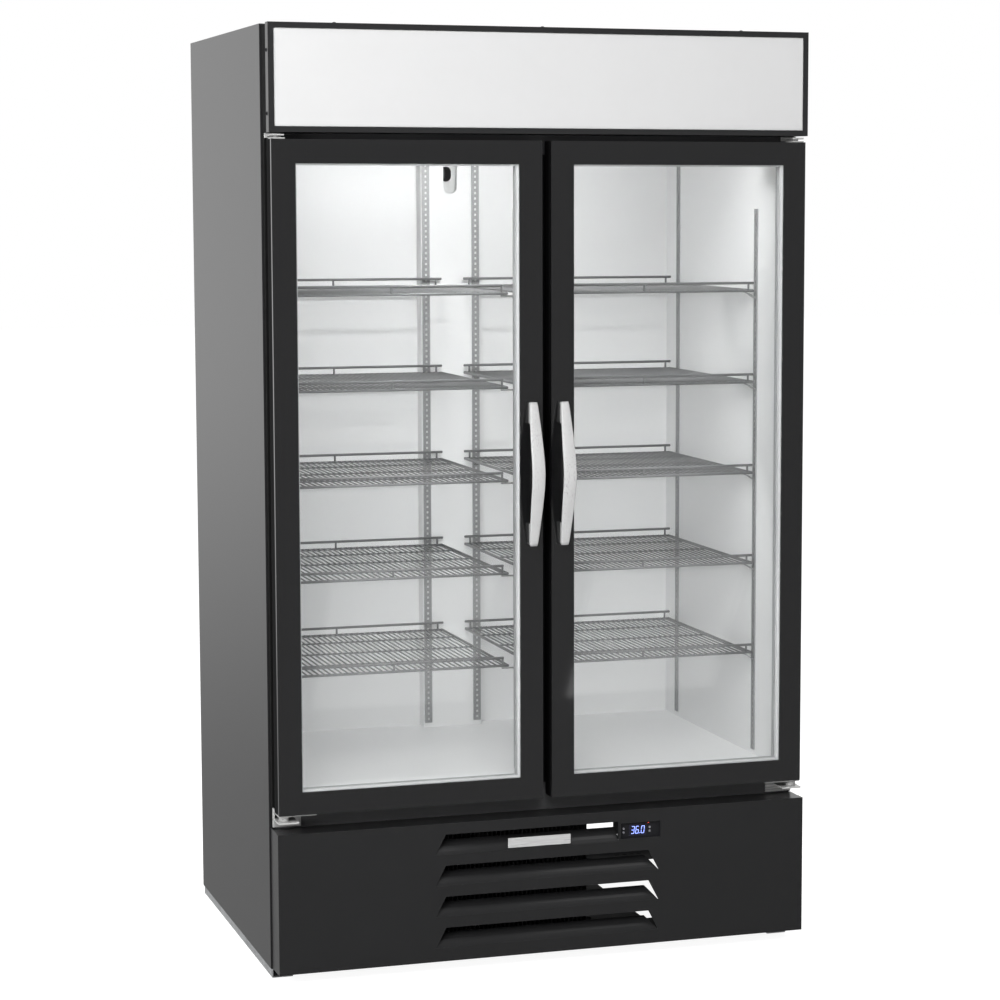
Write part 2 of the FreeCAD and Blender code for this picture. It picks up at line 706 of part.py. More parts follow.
def pilaster_shape(height, deep):
    """A slotted channel standing on the origin: back on the wall at y = 0, face at y = -deep."""
    wide, pitch = size("pilaster_wide"), size("slot_pitch")
    half, gauge = wide / 2, 1.2
    face = Part.Face(Part.makePolygon([Vector(-half, -deep, 0), Vector(half, -deep, 0),
                                       Vector(half, -deep, height), Vector(-half, -deep, height),
                                       Vector(-half, -deep, 0)]))
    slots = []
    for index in range(int((height - pitch / 2) // pitch)):
        z = pitch * (index + 0.5)
        corners = [Vector(-2.4, -deep, z), Vector(2.4, -deep, z),
                   Vector(2.4, -deep, z + 5.5), Vector(-2.4, -deep, z + 5.5)]
        slots.append(Part.Face(Part.makePolygon(corners + corners[:1])))
    web = face.cut(slots).extrude(Vector(0, gauge, 0))
    flanges = [
        bar((-half, -half + gauge), (-deep, 0), (0, height)),
        bar((half - gauge, half), (-deep, 0), (0, height)),
    ]
    return web.fuse(flanges).removeSplitter()


def pilasters():
    """Eight slotted strips: four on the side walls, two on the duct, two on the mullion."""
    low, high, tall = size("pilaster_low"), size("pilaster_high"), size("pilaster_tall")
    deep = size("pilaster_deep")
    short = pilaster_shape(high - low, deep)
    long_strip = pilaster_shape(tall - low, deep)
    mullion_strip = pilaster_shape(high - low, 10)
    strips = []
    inner = size("inner_half")
    for side in MIRROR:
        turn = Rotation(Vector(0, 0, 1), -90 * side)
        for strip, depth in ((short, size("pilaster_front_y")), (long_strip, size("pilaster_rear_y"))):
            strips.append(placed(strip, side * inner, depth, low, turn))
        column_x = side * size("column_pilaster_x")
        strips.append(placed(long_strip, column_x, size("column_front"), low, Rotation()))
        mullion_x = side * (size("mullion_half") - size("pilaster_wide") / 2)
        back = Rotation(Vector(0, 0, 1), 180)
        strips.append(placed(mullion_strip, mullion_x, size("mullion_depth"), low, back))
    node(feature("pilasters", Part.makeCompound(strips)), "pilasters")


def placed(shape, x, y, z, rotation):
    """A copy of a shape at a place."""
    copy = shape.copy()
    copy.Placement = Placement(Vector(x, y, z), rotation)
    return copy


def shelf_shape():
    """One wire shelf, its raised rails at z = 0: deck wires on a rod frame, guards front and rear."""
    left, right = size("shelf_inner"), size("shelf_outer")
    rod_half, cross_half, wire_half = size("shelf_rod"), size("shelf_cross"), size("shelf_wire")
    front, rear = size("shelf_front") + rod_half, size("shelf_rear") - rod_half
    drop = size("shelf_drop")
    frame_z = (-drop - rod_half, -drop + rod_half)
    deck_z = (-drop + 2 - wire_half, -drop + 2 + wire_half)
    cross_z = (-drop - 1 - cross_half, -drop - 1 + cross_half)
    members = []
    for index in range(41):
        x = left + 4 + 13 * index
        members.append(bar((x - wire_half, x + wire_half), (front, rear), deck_z))
    for y in (241, 397, 553):
        members.append(bar((left + 3, right - 3), (y - cross_half, y + cross_half), cross_z))
    for y, rail_x in ((front, (left + 13, right - 2)), (rear, (left, right))):
        y_span = (y - rod_half, y + rod_half)
        members.append(bar((left, right), y_span, frame_z))
        members.append(bar(rail_x, y_span, (-rod_half, rod_half)))
        for x in (left + 15, (left + right) / 2, right - 14):
            members.append(bar((x - 2.5, x + 2.5), (y - 2.5, y + 2.5), (-drop, 0)))
    for x in (left + rod_half, right - rod_half):
        members.append(bar((x - rod_half, x + rod_half), (front, rear), frame_z))
    return members[0].fuse(members[1:]).removeSplitter()


def shelves():
    """Five level shelves in each compartment and the clips that hold their corners."""
    shelf = shelf_shape()
    mirrored = shelf.mirror(Vector(), Vector(1, 0, 0))
    for name, shape in (("left", mirrored), ("right", shelf)):
        tiers = []
        for tier in range(TIERS):
            tiers.append(placed(shape, 0, 0, size("tier_top") - tier * size("tier_pitch"), Rotation()))
        node(feature(f"shelves_{name}", Part.makeCompound(tiers)), f"shelves_{name}")

    wall = clip_shape(9)
    column = clip_shape(6)
    wall_face = size("inner_half") - size("pilaster_deep")
    column_face = size("column_front") - size("pilaster_deep")
    under = size("shelf_drop") + size("shelf_rod")
    clips = []
    for tier in range(TIERS):
        seat = size("tier_top") - tier * size("tier_pitch") - under
        for side in MIRROR:
            turn = Rotation(Vector(0, 0, 1), -90 * side)
            for depth in (size("pilaster_front_y"), size("pilaster_rear_y")):
                clips.append(placed(wall, side * wall_face, depth, seat, turn))
            column_x = side * size("column_pilaster_x")
            clips.append(placed(column, column_x, column_face, seat, Rotation()))
            clips.append(placed(mullion_clip(side), 0, size("mullion_depth") + 10, seat, Rotation()))
    node(feature("shelf_clips", Part.makeCompound(clips)), "shelf_clips")


def clip_shape(half):
    """A clip on a strip's face at y = 0: a heel down the strip and an arm forward under the shelf."""
    heel = bar((-half, half), (-3, 0), (-14, 0))
    arm = bar((-half, half), (-24, 0), (-4, 0))
    return heel.fuse(arm).removeSplitter()


def mullion_clip(side):
    """A clip behind the mullion's strip with a toe that turns outwards under the shelf's front rod."""
    inner, toe = (12, 20), (20, 44)
    spans = [tuple(sorted((side * low, side * high))) for low, high in (inner, toe)]
    heel = bar(spans[0], (0, 3), (-14, 0))
    arm = bar(spans[0], (0, 22), (-4, 0))
    return heel.fuse([arm, bar(spans[1], (13, 22), (-4, 0))]).removeSplitter()


def duct_column():
    """White return-air duct up the back wall, with a pill-shaped opening near its top."""
    half, front, back = size("column_half"), size("column_front"), size("inner_back")
    low, high, gauge = size("floor_top"), size("column_top"), size("skin")
    outer = bar((-half, half), (front, back), (low, high))
    inner = bar((-half + gauge, half - gauge), (front + gauge, back + 1), (low - 1, high + 1))
    radius, pill_low, pill_high = 16.5, 1690.0, 1738.0
    pill = [bar((-radius, radius), (front - 1, front + 3), (pill_low, pill_high))]
    for z in (pill_low, pill_high):
        pill.append(Part.makeCylinder(radius, 4, Vector(0, front - 1, z), Vector(0, 1, 0)))
    shape = outer.cut([inner] + pill)
    node(feature("air_duct_column", shape), "air_duct_column")


# ---------------------------------------------------------------- refrigeration

def fan_shape(radius, thick, blades, bore):
    """An axial fan wheel round the Y axis: a bored hub and pitched blades, centred on y = 0."""
    hub_r = radius * 0.3
    members = []
    for index in range(blades):
        blade = bar((-radius * 0.24, radius * 0.24), (-1, 1), (hub_r * 0.7, radius))
        blade.rotate(Vector(0, 0, 0), Vector(0, 0, 1), 24)
        blade.rotate(Vector(0, 0, 0), Vector(0, 1, 0), 360.0 * index / blades)
        members.append(blade)
    hub = Part.makeCylinder(hub_r, thick, Vector(0, -thick / 2, 0), Vector(0, 1, 0))
    wheel = hub.fuse(members).removeSplitter()
    return wheel.cut(Part.makeCylinder(bore, thick + 2, Vector(0, -thick / 2 - 1, 0), Vector(0, 1, 0)))


def motor_shape(radius, length, thick, shaft_r):
    """A round motor behind a fan wheel, its shaft filling the wheel's bore with running clearance."""
    body = Part.makeCylinder(radius, length, Vector(0, thick / 2 + 4, 0), Vector(0, 1, 0))
    shaft = Part.makeCylinder(shaft_r, thick + 6, Vector(0, -thick / 2, 0), Vector(0, 1, 0))
    return body.fuse(shaft).removeSplitter()


def finned_coil(x, y, z, fins, tube_r, columns, rows):
    """A heat exchanger: thin fins across a bank of tubes that stick out past the end fins."""
    members = []
    for index in range(fins):
        start = x[0] + (x[1] - x[0] - 2) * index / (fins - 1)
        members.append(bar((start, start + 2), y, z))
    for column in range(columns):
        for row in range(rows):
            depth = y[0] + (y[1] - y[0]) * (column + 0.5) / columns
            height = z[0] + (z[1] - z[0]) * (row + 0.5) / rows
            start = Vector(x[0] - 15, depth, height)
            members.append(Part.makeCylinder(tube_r, x[1] - x[0] + 30, start, Vector(1, 0, 0)))
    return members


def evaporator():
    """Ceiling evaporator: sheet cover with two fans, finned coil and the drain to the base."""
    half, front, back, low, high = 480.0, 330.0, 690.0, 1775.0, size("ceiling")
    gauge = size("skin")
    fan_z, fan_x, fan_r = size("evap_fan_z"), size("evap_fan_x"), size("evap_fan_r")
    walls = bar((-half, half), (front, back), (low, high))
    hollow = bar((-half + gauge, half - gauge), (front + gauge, back + 1), (low + gauge, high + 1))
    throats = [Part.makeCylinder(fan_r + 6, 6, Vector(side * fan_x, front - 2, fan_z), Vector(0, 1, 0))
               for side in MIRROR]
    drain = Part.makeCylinder(9, 6, Vector(50, 660, low - 2), Vector(0, 0, 1))
    node(feature("evaporator_housing", walls.cut([hollow, drain] + throats)), "evaporator_housing")

    coil = finned_coil((-360, 360), (500, 620), (1800, 1935), 25, 5, 2, 4)
    coil += [bar((x, x + 2), (540, 580), (1930, high)) for x in (-360, 358)]
    node(feature("evaporator_coil", coil[0].fuse(coil[1:])), "evaporator_coil")

    thick = 24.0
    wheel = fan_shape(fan_r, thick, 5, size("shaft_r") + size("shaft_gap"))
    motor = motor_shape(38, 60, thick, size("shaft_r"))
    stem = bar((-12, 12), (40, 60), (30, high - fan_z))
    motors = []
    for side, name in zip(MIRROR, ("left", "right")):
        turned = placed(wheel, side * fan_x, front + 24, fan_z, Rotation())
        node(feature(f"evaporator_fan_{name}", turned), f"evaporator_fan_{name}")
        motors.append(placed(motor.fuse(stem).removeSplitter(), side * fan_x, front + 24, fan_z, Rotation()))
    node(feature("evaporator_motors", Part.makeCompound(motors)), "evaporator_motors")


def drain_tube():
    """Condensate drain from the evaporator cover down inside the rear air column."""
    radius = 7.0
    path = [(50, 660, 1776), (50, 660, 1764), (50, 694, 1764), (50, 694, 392)]
    members = []
    for start, end in zip(path, path[1:]):
        run = Vector(*end) - Vector(*start)
        members.append(Part.makeCylinder(radius, run.Length, Vector(*start), run))
    members += [Part.makeSphere(radius, Vector(*point)) for point in path[1:3]]
    node(feature("drain_tube", members[0].fuse(members[1:]).removeSplitter()), "drain_tube")


def condensing_unit():
    """Bottom-mounted unit: compressor, finned condenser, fan and motor, electrics, pipes."""
    pan = size("rail_height") + 2
    centre = Vector(-60, 560, pan)
    can = Part.makeCylinder(85, 120, centre + Vector(0, 0, 45), Vector(0, 0, 1))
    dome = Part.makeSphere(85, centre + Vector(0, 0, 165), Vector(0, 0, 1), 0, 90, 360)
    foot = bar((-160, 40), (460, 660), (pan + 12, pan + 16))
    skirt = Part.makeCylinder(60, 34, centre + Vector(0, 0, 14), Vector(0, 0, 1))
    mounts = [Part.makeCylinder(12, 12, Vector(x, y, pan), Vector(0, 0, 1))
              for x in (-145, 25) for y in (475, 645)]
    solid = can.fuse([dome, foot, skirt] + mounts).removeSplitter()
    node(feature("compressor", solid), "compressor")

    coil = finned_coil((-300, 130), (40, 110), (pan + 10, 300), 44, 4.5, 2, 6)
    coil += [bar((x, x + 2), (50, 100), (pan, pan + 14)) for x in (-300, 128)]
    node(feature("condenser_coil", coil[0].fuse(coil[1:])), "condenser_coil")

    thick, depth = 30.0, 150.0
    x, z, radius = size("cond_fan_x"), size("cond_fan_z"), size("cond_fan_r")
    wheel = fan_shape(radius, thick, 5, size("shaft_r") + size("shaft_gap"))
    node(feature("condenser_fan", placed(wheel, x, depth, z, Rotation())), "condenser_fan")
    motor = motor_shape(42, 70, thick, size("shaft_r"))
    stand = bar((-20, 20), (45, 75), (pan - z, -35))
    base = bar((-45, 45), (35, 85), (pan - z, pan - z + 4))
    solid = placed(motor.fuse([stand, base]).removeSplitter(), x, depth, z, Rotation())
    node(feature("condenser_fan_motor", solid), "condenser_fan_motor")

    case = bar((-540, -400), (520, 720), (pan, pan + 120))
    node(feature("electrical_box", case), "electrical_box")
    gland = Part.makeCylinder(11, 30, Vector(-470, 720, pan + 60), Vector(0, 1, 0))
    nut = Part.makeCylinder(15, 6, Vector(-470, 720, pan + 60), Vector(0, 1, 0))
    bore = Part.makeCylinder(5.5, 32, Vector(-470, 719, pan + 60), Vector(0, 1, 0))
    node(feature("cord_gland", gland.fuse(nut).cut(bore)), "cord_gland")

    lines = []
    for route in (
        [(-300 - 15, 57.5, pan + 34), (-345, 57.5, pan + 34), (-345, 560, pan + 34), (-345, 560, pan + 100),
         (-145, 560, pan + 100)],
        [(25, 560, pan + 110), (70, 560, pan + 110), (70, 600, pan + 110), (70, 600, size("deck_top") - 1.5)],
    ):
        pieces = []
        for start, end in zip(route, route[1:]):
            run = Vector(*end) - Vector(*start)
            pieces.append(Part.makeCylinder(4, run.Length, Vector(*start), run))
        pieces += [Part.makeSphere(4, Vector(*point)) for point in route[1:-1]]
        lines.append(pieces[0].fuse(pieces[1:]).removeSplitter())
    node(feature("refrigerant_lines", Part.makeCompound(lines)), "refrigerant_lines")


def check_and_write():
    """Stops on a failed object or a bad shape, then writes one file for each sub-part."""
    doc.recompute()
    for obj in doc.Objects:
        if "Invalid" in obj.State or "Error" in obj.State:
            raise RuntimeError(f"{obj.Name} failed: {obj.State}")
    os.makedirs("parts", exist_ok=True)
    for label, obj in NODES.items():
        shape = obj.Shape
        if shape.isNull() or not shape.isValid() or not shape.Solids:
            raise RuntimeError(f"{label} has a bad shape")
        shape.exportStep(os.path.join("parts", f"{label}.step"))
    print(len(NODES), "nodes written")


cabinet()
front_frame()
header()
for door_side, door_name in zip(MIRROR, ("left", "right")):
    door(door_side, door_name)
hinges()
lower_panel()
controller()
pilasters()
shelves()
duct_column()
evaporator()
drain_tube()
condensing_unit()
check_and_write()
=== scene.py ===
import json
import math

import bmesh
import bpy
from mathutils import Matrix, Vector

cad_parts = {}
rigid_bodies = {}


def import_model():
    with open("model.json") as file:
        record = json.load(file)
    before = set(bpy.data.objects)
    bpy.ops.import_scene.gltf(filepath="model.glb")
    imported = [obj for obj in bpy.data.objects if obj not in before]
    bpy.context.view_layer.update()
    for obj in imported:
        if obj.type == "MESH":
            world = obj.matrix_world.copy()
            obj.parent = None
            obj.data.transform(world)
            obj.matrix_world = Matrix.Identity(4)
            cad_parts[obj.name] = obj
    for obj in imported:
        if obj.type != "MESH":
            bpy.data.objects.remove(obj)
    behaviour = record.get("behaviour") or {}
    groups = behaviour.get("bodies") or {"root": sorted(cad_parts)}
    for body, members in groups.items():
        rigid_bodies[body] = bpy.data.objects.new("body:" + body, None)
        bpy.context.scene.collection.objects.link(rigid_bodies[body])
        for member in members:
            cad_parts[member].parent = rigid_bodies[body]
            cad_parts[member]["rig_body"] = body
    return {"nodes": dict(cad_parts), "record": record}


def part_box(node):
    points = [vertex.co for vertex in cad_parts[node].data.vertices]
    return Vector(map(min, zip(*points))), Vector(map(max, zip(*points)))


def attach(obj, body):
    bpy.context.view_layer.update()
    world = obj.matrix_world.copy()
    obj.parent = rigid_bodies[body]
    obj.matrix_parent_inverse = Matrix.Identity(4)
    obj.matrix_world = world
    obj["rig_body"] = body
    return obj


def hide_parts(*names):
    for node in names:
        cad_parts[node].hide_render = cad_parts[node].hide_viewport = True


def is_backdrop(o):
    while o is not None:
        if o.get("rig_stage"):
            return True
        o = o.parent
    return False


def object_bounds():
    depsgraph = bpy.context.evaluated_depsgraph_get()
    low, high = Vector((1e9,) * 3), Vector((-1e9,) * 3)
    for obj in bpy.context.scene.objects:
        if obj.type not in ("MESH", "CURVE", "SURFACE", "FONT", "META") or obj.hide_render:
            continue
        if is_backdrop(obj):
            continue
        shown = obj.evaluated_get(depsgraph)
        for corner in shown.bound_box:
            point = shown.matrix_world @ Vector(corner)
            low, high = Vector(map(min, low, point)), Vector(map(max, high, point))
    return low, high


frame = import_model()
CAD_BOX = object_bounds()
NODES = frame["nodes"]
SIDES = ("left", "right")
# Vertices of a CAD mesh that are nearer than this, in metres, are one vertex.
WELD = 0.00001
# Faces of a CAD mesh that turn by less than this, in degrees, are one face.
FLAT = 0.5
# Edges that turn by more than this, in degrees, are rolled over.
SHARP = 32


# ---------------------------------------------------------------- material graphs

class Graph:
    """The nodes of a material or world. Values that are sockets are linked, others are set."""

    def __init__(self, owner):
        self.owner = owner
        owner.use_nodes = True
        self.tree = owner.node_tree
        self.tree.nodes.clear()
        texture = self.add("TexCoord")
        self.space = texture.outputs["Object"]
        self.around = texture.outputs["Generated"]

    def add(self, kind, settings=None, **inputs):
        made = self.tree.nodes.new("ShaderNode" + kind)
        for key, value in (settings or {}).items():
            setattr(made, key, value)
        for key, value in inputs.items():
            self.feed(made.inputs[key.replace("_", " ")], value)
        return made

    def feed(self, socket, value):
        if isinstance(value, bpy.types.NodeSocket):
            self.tree.links.new(value, socket)
        else:
            socket.default_value = value

    def noise(self, scale, detail=3.0, stretch=(1, 1, 1)):
        """A noise value from 0 to 1; scale counts per metre, stretch multiplies it per axis."""
        mapping = self.add("Mapping", Vector=self.space, Scale=stretch)
        noise = self.add("TexNoise", Vector=mapping.outputs[0], Scale=scale, Detail=detail)
        return noise.outputs["Fac"]

    def cells(self, scale):
        """A random value for each cell of a crystal pattern."""
        cell = self.add("TexVoronoi", Vector=self.space, Scale=scale)
        return self.add("SeparateColor", Color=cell.outputs["Color"]).outputs[0]

    def axis(self, letter, source=None):
        """One coordinate of a place."""
        return self.add("SeparateXYZ", Vector=source or self.space).outputs[letter]

    def remap(self, value, low, high, start=0.3, end=0.7):
        """Spreads a value between start and end over low to high, and holds it there outside."""
        made = self.add("MapRange", Value=value, From_Min=start, From_Max=end,
                        To_Min=low, To_Max=high)
        return made.outputs[0]

    def maths(self, operation, *values):
        made = self.add("Math", {"operation": operation})
        for socket, value in zip(made.inputs, values):
            self.feed(socket, value)
        return made.outputs[0]

    def blend(self, factor, first, second):
        mixed = self.add("Mix", {"data_type": "RGBA"}, Factor=factor)
        self.feed(mixed.inputs[6], (*first, 1))
        self.feed(mixed.inputs[7], (*second, 1))
        return mixed.outputs[2]

    def varied(self, value, tone, spread):
        """A tone that a value makes darker or lighter by a share of itself."""
        return self.blend(value, shade(tone, 1 - spread), shade(tone, 1 + spread))

    def mottled(self, tone, spread, scale=9, detail=4):
        """A tone with soft patches."""
        return self.varied(self.remap(self.noise(scale, detail), 0, 1), tone, spread)

    def mix_shaders(self, amount, first, second):
        mixed = self.add("MixShader", Fac=amount)
        self.feed(mixed.inputs[1], first)
        self.feed(mixed.inputs[2], second)
        return mixed.outputs[0]

    def bump(self, height, distance, under=None):
        """A relief in metres, laid over another relief if there is one."""
        made = self.add("Bump", Height=height, Distance=distance, Strength=1.0)
        if under is not None:
            self.feed(made.inputs["Normal"], under)
        return made.outputs[0]

    def surface(self, **inputs):
        """A Principled surface as the material's output."""
        return self.finish(self.add("BsdfPrincipled", **inputs).outputs[0])

    def finish(self, shader, output="OutputMaterial"):
        self.add(output, Surface=shader)
        return self.owner


def material_graph(name):
    return Graph(bpy.data.materials.new(name))


def shade(tone, amount):
    return tuple(min(1.0, channel * amount) for channel in tone)


# Noise scales that count per metre, shared by several finishes.
PEEL_SCALE = 1400
TEXTURE_SCALE = 2200
# Half the width over which one finish turns into another, in metres.
SEAM_HALF = 0.0004
PAINTED_SHADE_HALF = 0.0005


def coated(name, tone, rough=0.38, grain=0.00004, fine=PEEL_SCALE):
    """Baked powder coat: orange-peel skin, slow gloss changes and slight mottling."""
    g = material_graph(name)
    gloss = g.remap(g.noise(22, 3), rough - 0.012, rough + 0.015)
    peel = g.bump(g.noise(fine, 2), grain)
    return g.surface(Base_Color=g.mottled(tone, 0.03), Roughness=gloss, Normal=peel)


def capped(name, tone, seam, front, rear):
    """Two finishes that meet at a depth: each is a roughness and a gloss level."""
    g = material_graph(name)
    behind = g.remap(g.axis("Y"), 0, 1, seam - SEAM_HALF, seam + SEAM_HALF)
    gloss = g.remap(behind, front[0], rear[0], 0, 1)
    shine = g.remap(behind, front[1], rear[1], 0, 1)
    return g.surface(Base_Color=g.mottled(tone, 0.03), Roughness=gloss, Specular_IOR_Level=shine,
                     Normal=g.bump(g.noise(PEEL_SCALE, 2), 0.00003))


def painted_shade_edges(name, tone, edge, half):
    """Matte moulded frame whose outer edges, beyond a half width, are painted darker: painted shade
    for the gap beside the frame's sides.
    """
    g = material_graph(name)
    across = g.maths("ABSOLUTE", g.axis("X"))
    # Past the half width the tone turns to the darker one: painted shade for the gap at the frame's
    # sides.
    colour = g.blend(g.remap(across, 0, 1, half - PAINTED_SHADE_HALF, half + PAINTED_SHADE_HALF), tone, edge)
    gloss = g.remap(g.noise(30, 3), 0.68, 0.8)
    return g.surface(Base_Color=colour, Roughness=gloss, Specular_IOR_Level=0.1,
                     Normal=g.bump(g.noise(TEXTURE_SCALE, 2), 0.00005))


def brushed(name, tone, stretch, rough=0.3, grain=0.00004, metallic=1.0, spread=0.12):
    """Metal finished in one direction: long fine scratches that change tone and gloss."""
    g = material_graph(name)
    lines = g.noise(700, 4, stretch)
    colour = g.varied(g.remap(lines, 0, 1), tone, spread)
    gloss = g.remap(g.noise(250, 3, stretch), rough - 0.08, rough + 0.12)
    wear = g.remap(g.noise(12, 4), 0, 0.06)
    return g.surface(Base_Color=colour, Metallic=metallic, Normal=g.bump(lines, grain),
                     Roughness=g.maths("ADD", gloss, wear))


def galvanised(name, tone):
    """Hot-dip zinc: large spangles with different tone and gloss, and fine dust."""
    g = material_graph(name)
    spangle = g.cells(70)
    colour = g.blend(spangle, shade(tone, 0.85), shade(tone, 1.12))
    gloss = g.remap(spangle, 0.32, 0.54, 0, 1)
    dust = g.bump(g.noise(900, 3), 0.00004)
    return g.surface(Base_Color=colour, Metallic=0.9, Roughness=gloss, Normal=dust)


def moulded(name, tone, rough=0.5, grain=0.00005, fine=TEXTURE_SCALE, spread=0.1, shine=0.5):
    """Moulded plastic with a spark-eroded texture and slightly uneven tone."""
    g = material_graph(name)
    gloss = g.remap(g.noise(30, 3), rough - 0.05, rough + 0.07)
    return g.surface(Base_Color=g.mottled(tone, spread, 14, 3), Roughness=gloss,
                     Normal=g.bump(g.noise(fine, 2), grain), Specular_IOR_Level=shine)


def liner(name, tone):
    """White enamelled aluminium with a faint stucco emboss."""
    g = material_graph(name)
    colour = g.blend(g.remap(g.noise(5, 4), 0, 1), shade(tone, 0.985), shade(tone, 1.01))
    stucco = g.bump(g.noise(90, 3), 0.00012)
    fine = g.bump(g.noise(1100, 2), 0.00003, under=stucco)
    return g.surface(Base_Color=colour, Roughness=g.remap(g.noise(8, 3), 0.4, 0.5), Normal=fine)


def thin_glass(name, tint, reach):
    """Clear pane: light passes straight through, with a Fresnel mirror and a trace of haze."""
    g = material_graph(name)
    smear = g.remap(g.noise(3, 5), 0.02, 0.06)
    clear = g.add("BsdfTransparent", Color=(*tint, 1))
    mirror = g.add("BsdfGlossy", Color=(1, 1, 1, 1), Roughness=smear)
    amount = g.maths("MULTIPLY", g.add("Fresnel", IOR=1.45).outputs[0], reach)
    return g.finish(g.mix_shaders(amount, clear.outputs[0], mirror.outputs[0]))


def rubber(name, tone):
    """Soft extruded rubber with fine drag lines and a bloom of pale dust."""
    g = material_graph(name)
    bloom = g.blend(g.remap(g.noise(35, 5), 0, 1), tone, shade(tone, 1.7))
    drag = g.bump(g.noise(500, 2, (1, 1, 0.03)), 0.00004)
    return g.surface(Base_Color=bloom, Roughness=0.72, Normal=drag)


def lamp(name, tone, power):
    """Lit diffuser with faint prisms along it."""
    g = material_graph(name)
    prism = g.remap(g.noise(350, 1, (0.01, 1, 1)), 0.9, 1.05)
    return g.surface(Base_Color=(*tone, 1), Roughness=0.4, Emission_Color=(*tone, 1),
                     Emission_Strength=g.maths("MULTIPLY", prism, power))


def glow(name, tone, power):
    """A lit segment with a slightly uneven light pipe."""
    g = material_graph(name)
    strength = g.remap(g.noise(900, 2), power * 0.85, power * 1.1)
    return g.surface(Base_Color=(*shade(tone, 0.3), 1), Roughness=0.3,
                     Emission_Color=(*tone, 1), Emission_Strength=strength)


BLACK = (0.0082, 0.0082, 0.0086)
DEEP_BLACK = (0.0030, 0.0030, 0.0032)
DOOR_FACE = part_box("door_frame_left")[0].y
SIDE_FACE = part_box("side_panel_left")[0].y
# Roughness and gloss level of each face that two finishes share.
MATTE = (0.75, 0.06)
DOOR_GLOSS = (0.12, 1.0)
SIDE_GLOSS = (0.31, 0.5)
# How far back each front finish reaches, in metres.
DOOR_CAP = 0.009
SIDE_CAP = 0.0017
# The half width beyond which the front frame is painted darker as painted shade, in metres.
PAINTED_SHADE_START = 0.588
PANEL_ROUGH = 0.31

MATERIALS = {
    "black_powder_coat": coated("black_powder_coat", BLACK, PANEL_ROUGH),
    "black_door_frame": capped("black_door_frame", DEEP_BLACK, DOOR_FACE + DOOR_CAP,
                               DOOR_GLOSS, MATTE),
    "white_liner": liner("white_liner", (0.86, 0.86, 0.86)),
    "white_post": moulded("white_post", (0.88, 0.88, 0.88), 0.45, 0.00003, spread=0.01),
    # The dark, low-shine chassis paint is partly the real paint and partly painted shade for the
    # dim base compartment.
    "chassis_black": moulded("chassis_black", (0.010, 0.010, 0.0105), 0.75, 0.00006, 900,
                             shine=0.08),
    "galvanised": galvanised("galvanised", (0.55, 0.56, 0.57)),
    "zinc_plate": brushed("zinc_plate", (0.36, 0.36, 0.355), (0.03, 1, 1), 0.25, 0.00002,
                          metallic=0.45),
    "satin_handle": brushed("satin_handle", (0.37, 0.37, 0.37), (4, 4, 0.04), 0.30, 0.000002,
                            metallic=0.4, spread=0.02),
    "clear_glass": thin_glass("clear_glass", (0.99, 0.993, 0.993), 0.5),
    "white_spacer": moulded("white_spacer", (0.46, 0.464, 0.467), 0.5, 0.00002, spread=0.01,
                            shine=0.2),
    "gasket_rubber": rubber("gasket_rubber", (0.018, 0.018, 0.019)),
    "grey_wire": coated("grey_wire", (0.16, 0.161, 0.163), 0.32, 0.00002, 2500),
    "pilaster_steel": brushed("pilaster_steel", (0.36, 0.362, 0.365), (1, 1, 0.03), 0.42,
                              metallic=0.4),
    "foam": moulded("foam", (0.75, 0.70, 0.50), 0.8, 0.0003, 300),
    "sign_white": moulded("sign_white", (0.27, 0.27, 0.271), 0.4, 0.00002, spread=0.005),
    "lamp_white": lamp("lamp_white", (1.0, 0.99, 0.97), 0.5),
    "brushed_plate": brushed("brushed_plate", (0.33, 0.33, 0.33), (0.03, 1, 1), 0.3,
                             metallic=0.35),
    "control_black": moulded("control_black", (0.006, 0.006, 0.007), 0.5, shine=0.2),
    "display_glass": moulded("display_glass", (0.006, 0.006, 0.012), 0.12, 0.000005, 300),
    "key_grey": moulded("key_grey", (0.09, 0.09, 0.10), 0.45),
    "fan_plastic": moulded("fan_plastic", (0.02, 0.02, 0.021), 0.48),
    "motor_black": coated("motor_black", (0.03, 0.03, 0.033), 0.45),
    "fin_aluminium": brushed("fin_aluminium", (0.72, 0.73, 0.74), (1, 1, 0.05), 0.35),
    "compressor_black": coated("compressor_black", (0.014, 0.014, 0.015), 0.3, 0.00008),
    "copper_pipe": brushed("copper_pipe", (0.75, 0.38, 0.22), (0.2, 0.2, 0.2), 0.3),
    "drain_plastic": moulded("drain_plastic", (0.72, 0.73, 0.74), 0.4),
}
LED_BLUE = glow("led_blue", (0.27, 0.36, 1.0), 2.6)
LED_RED = glow("led_red", (1.0, 0.05, 0.03), 3.0)
SLOT_OF = {part["node"]: part["material_slot"] for part in frame["record"]["subparts"]}

# Nodes whose finish differs from the rest of their slot.
OWN_FINISH = {
    # The floor's liner is a lighter copy of the wall liner: painted light for the light that falls
    # on the floor from above.
    "liner_floor": liner("floor_liner_painted_light", (0.94, 0.94, 0.94)),
    # The front frame's darker outer band is painted shade for the gap at its sides.
    "front_frame": painted_shade_edges("frame_black_painted_shade", (0.045, 0.045, 0.046), (0.003, 0.003, 0.003), PAINTED_SHADE_START),
    # The header box's black is darker and more matte than the other black: painted shade for the
    # dark band along its sides.
    "header_box": moulded("header_black_painted_shade", (0.006, 0.006, 0.0062), 0.75, shine=0.06),
    "lower_panel": coated("panel_black", (0.0068, 0.0068, 0.0071), PANEL_ROUGH),
}
OWN_FINISH["side_panel_left"] = capped("side_black", BLACK, SIDE_FACE + SIDE_CAP,
                                       MATTE, SIDE_GLOSS)
OWN_FINISH["side_panel_right"] = OWN_FINISH["side_panel_left"]


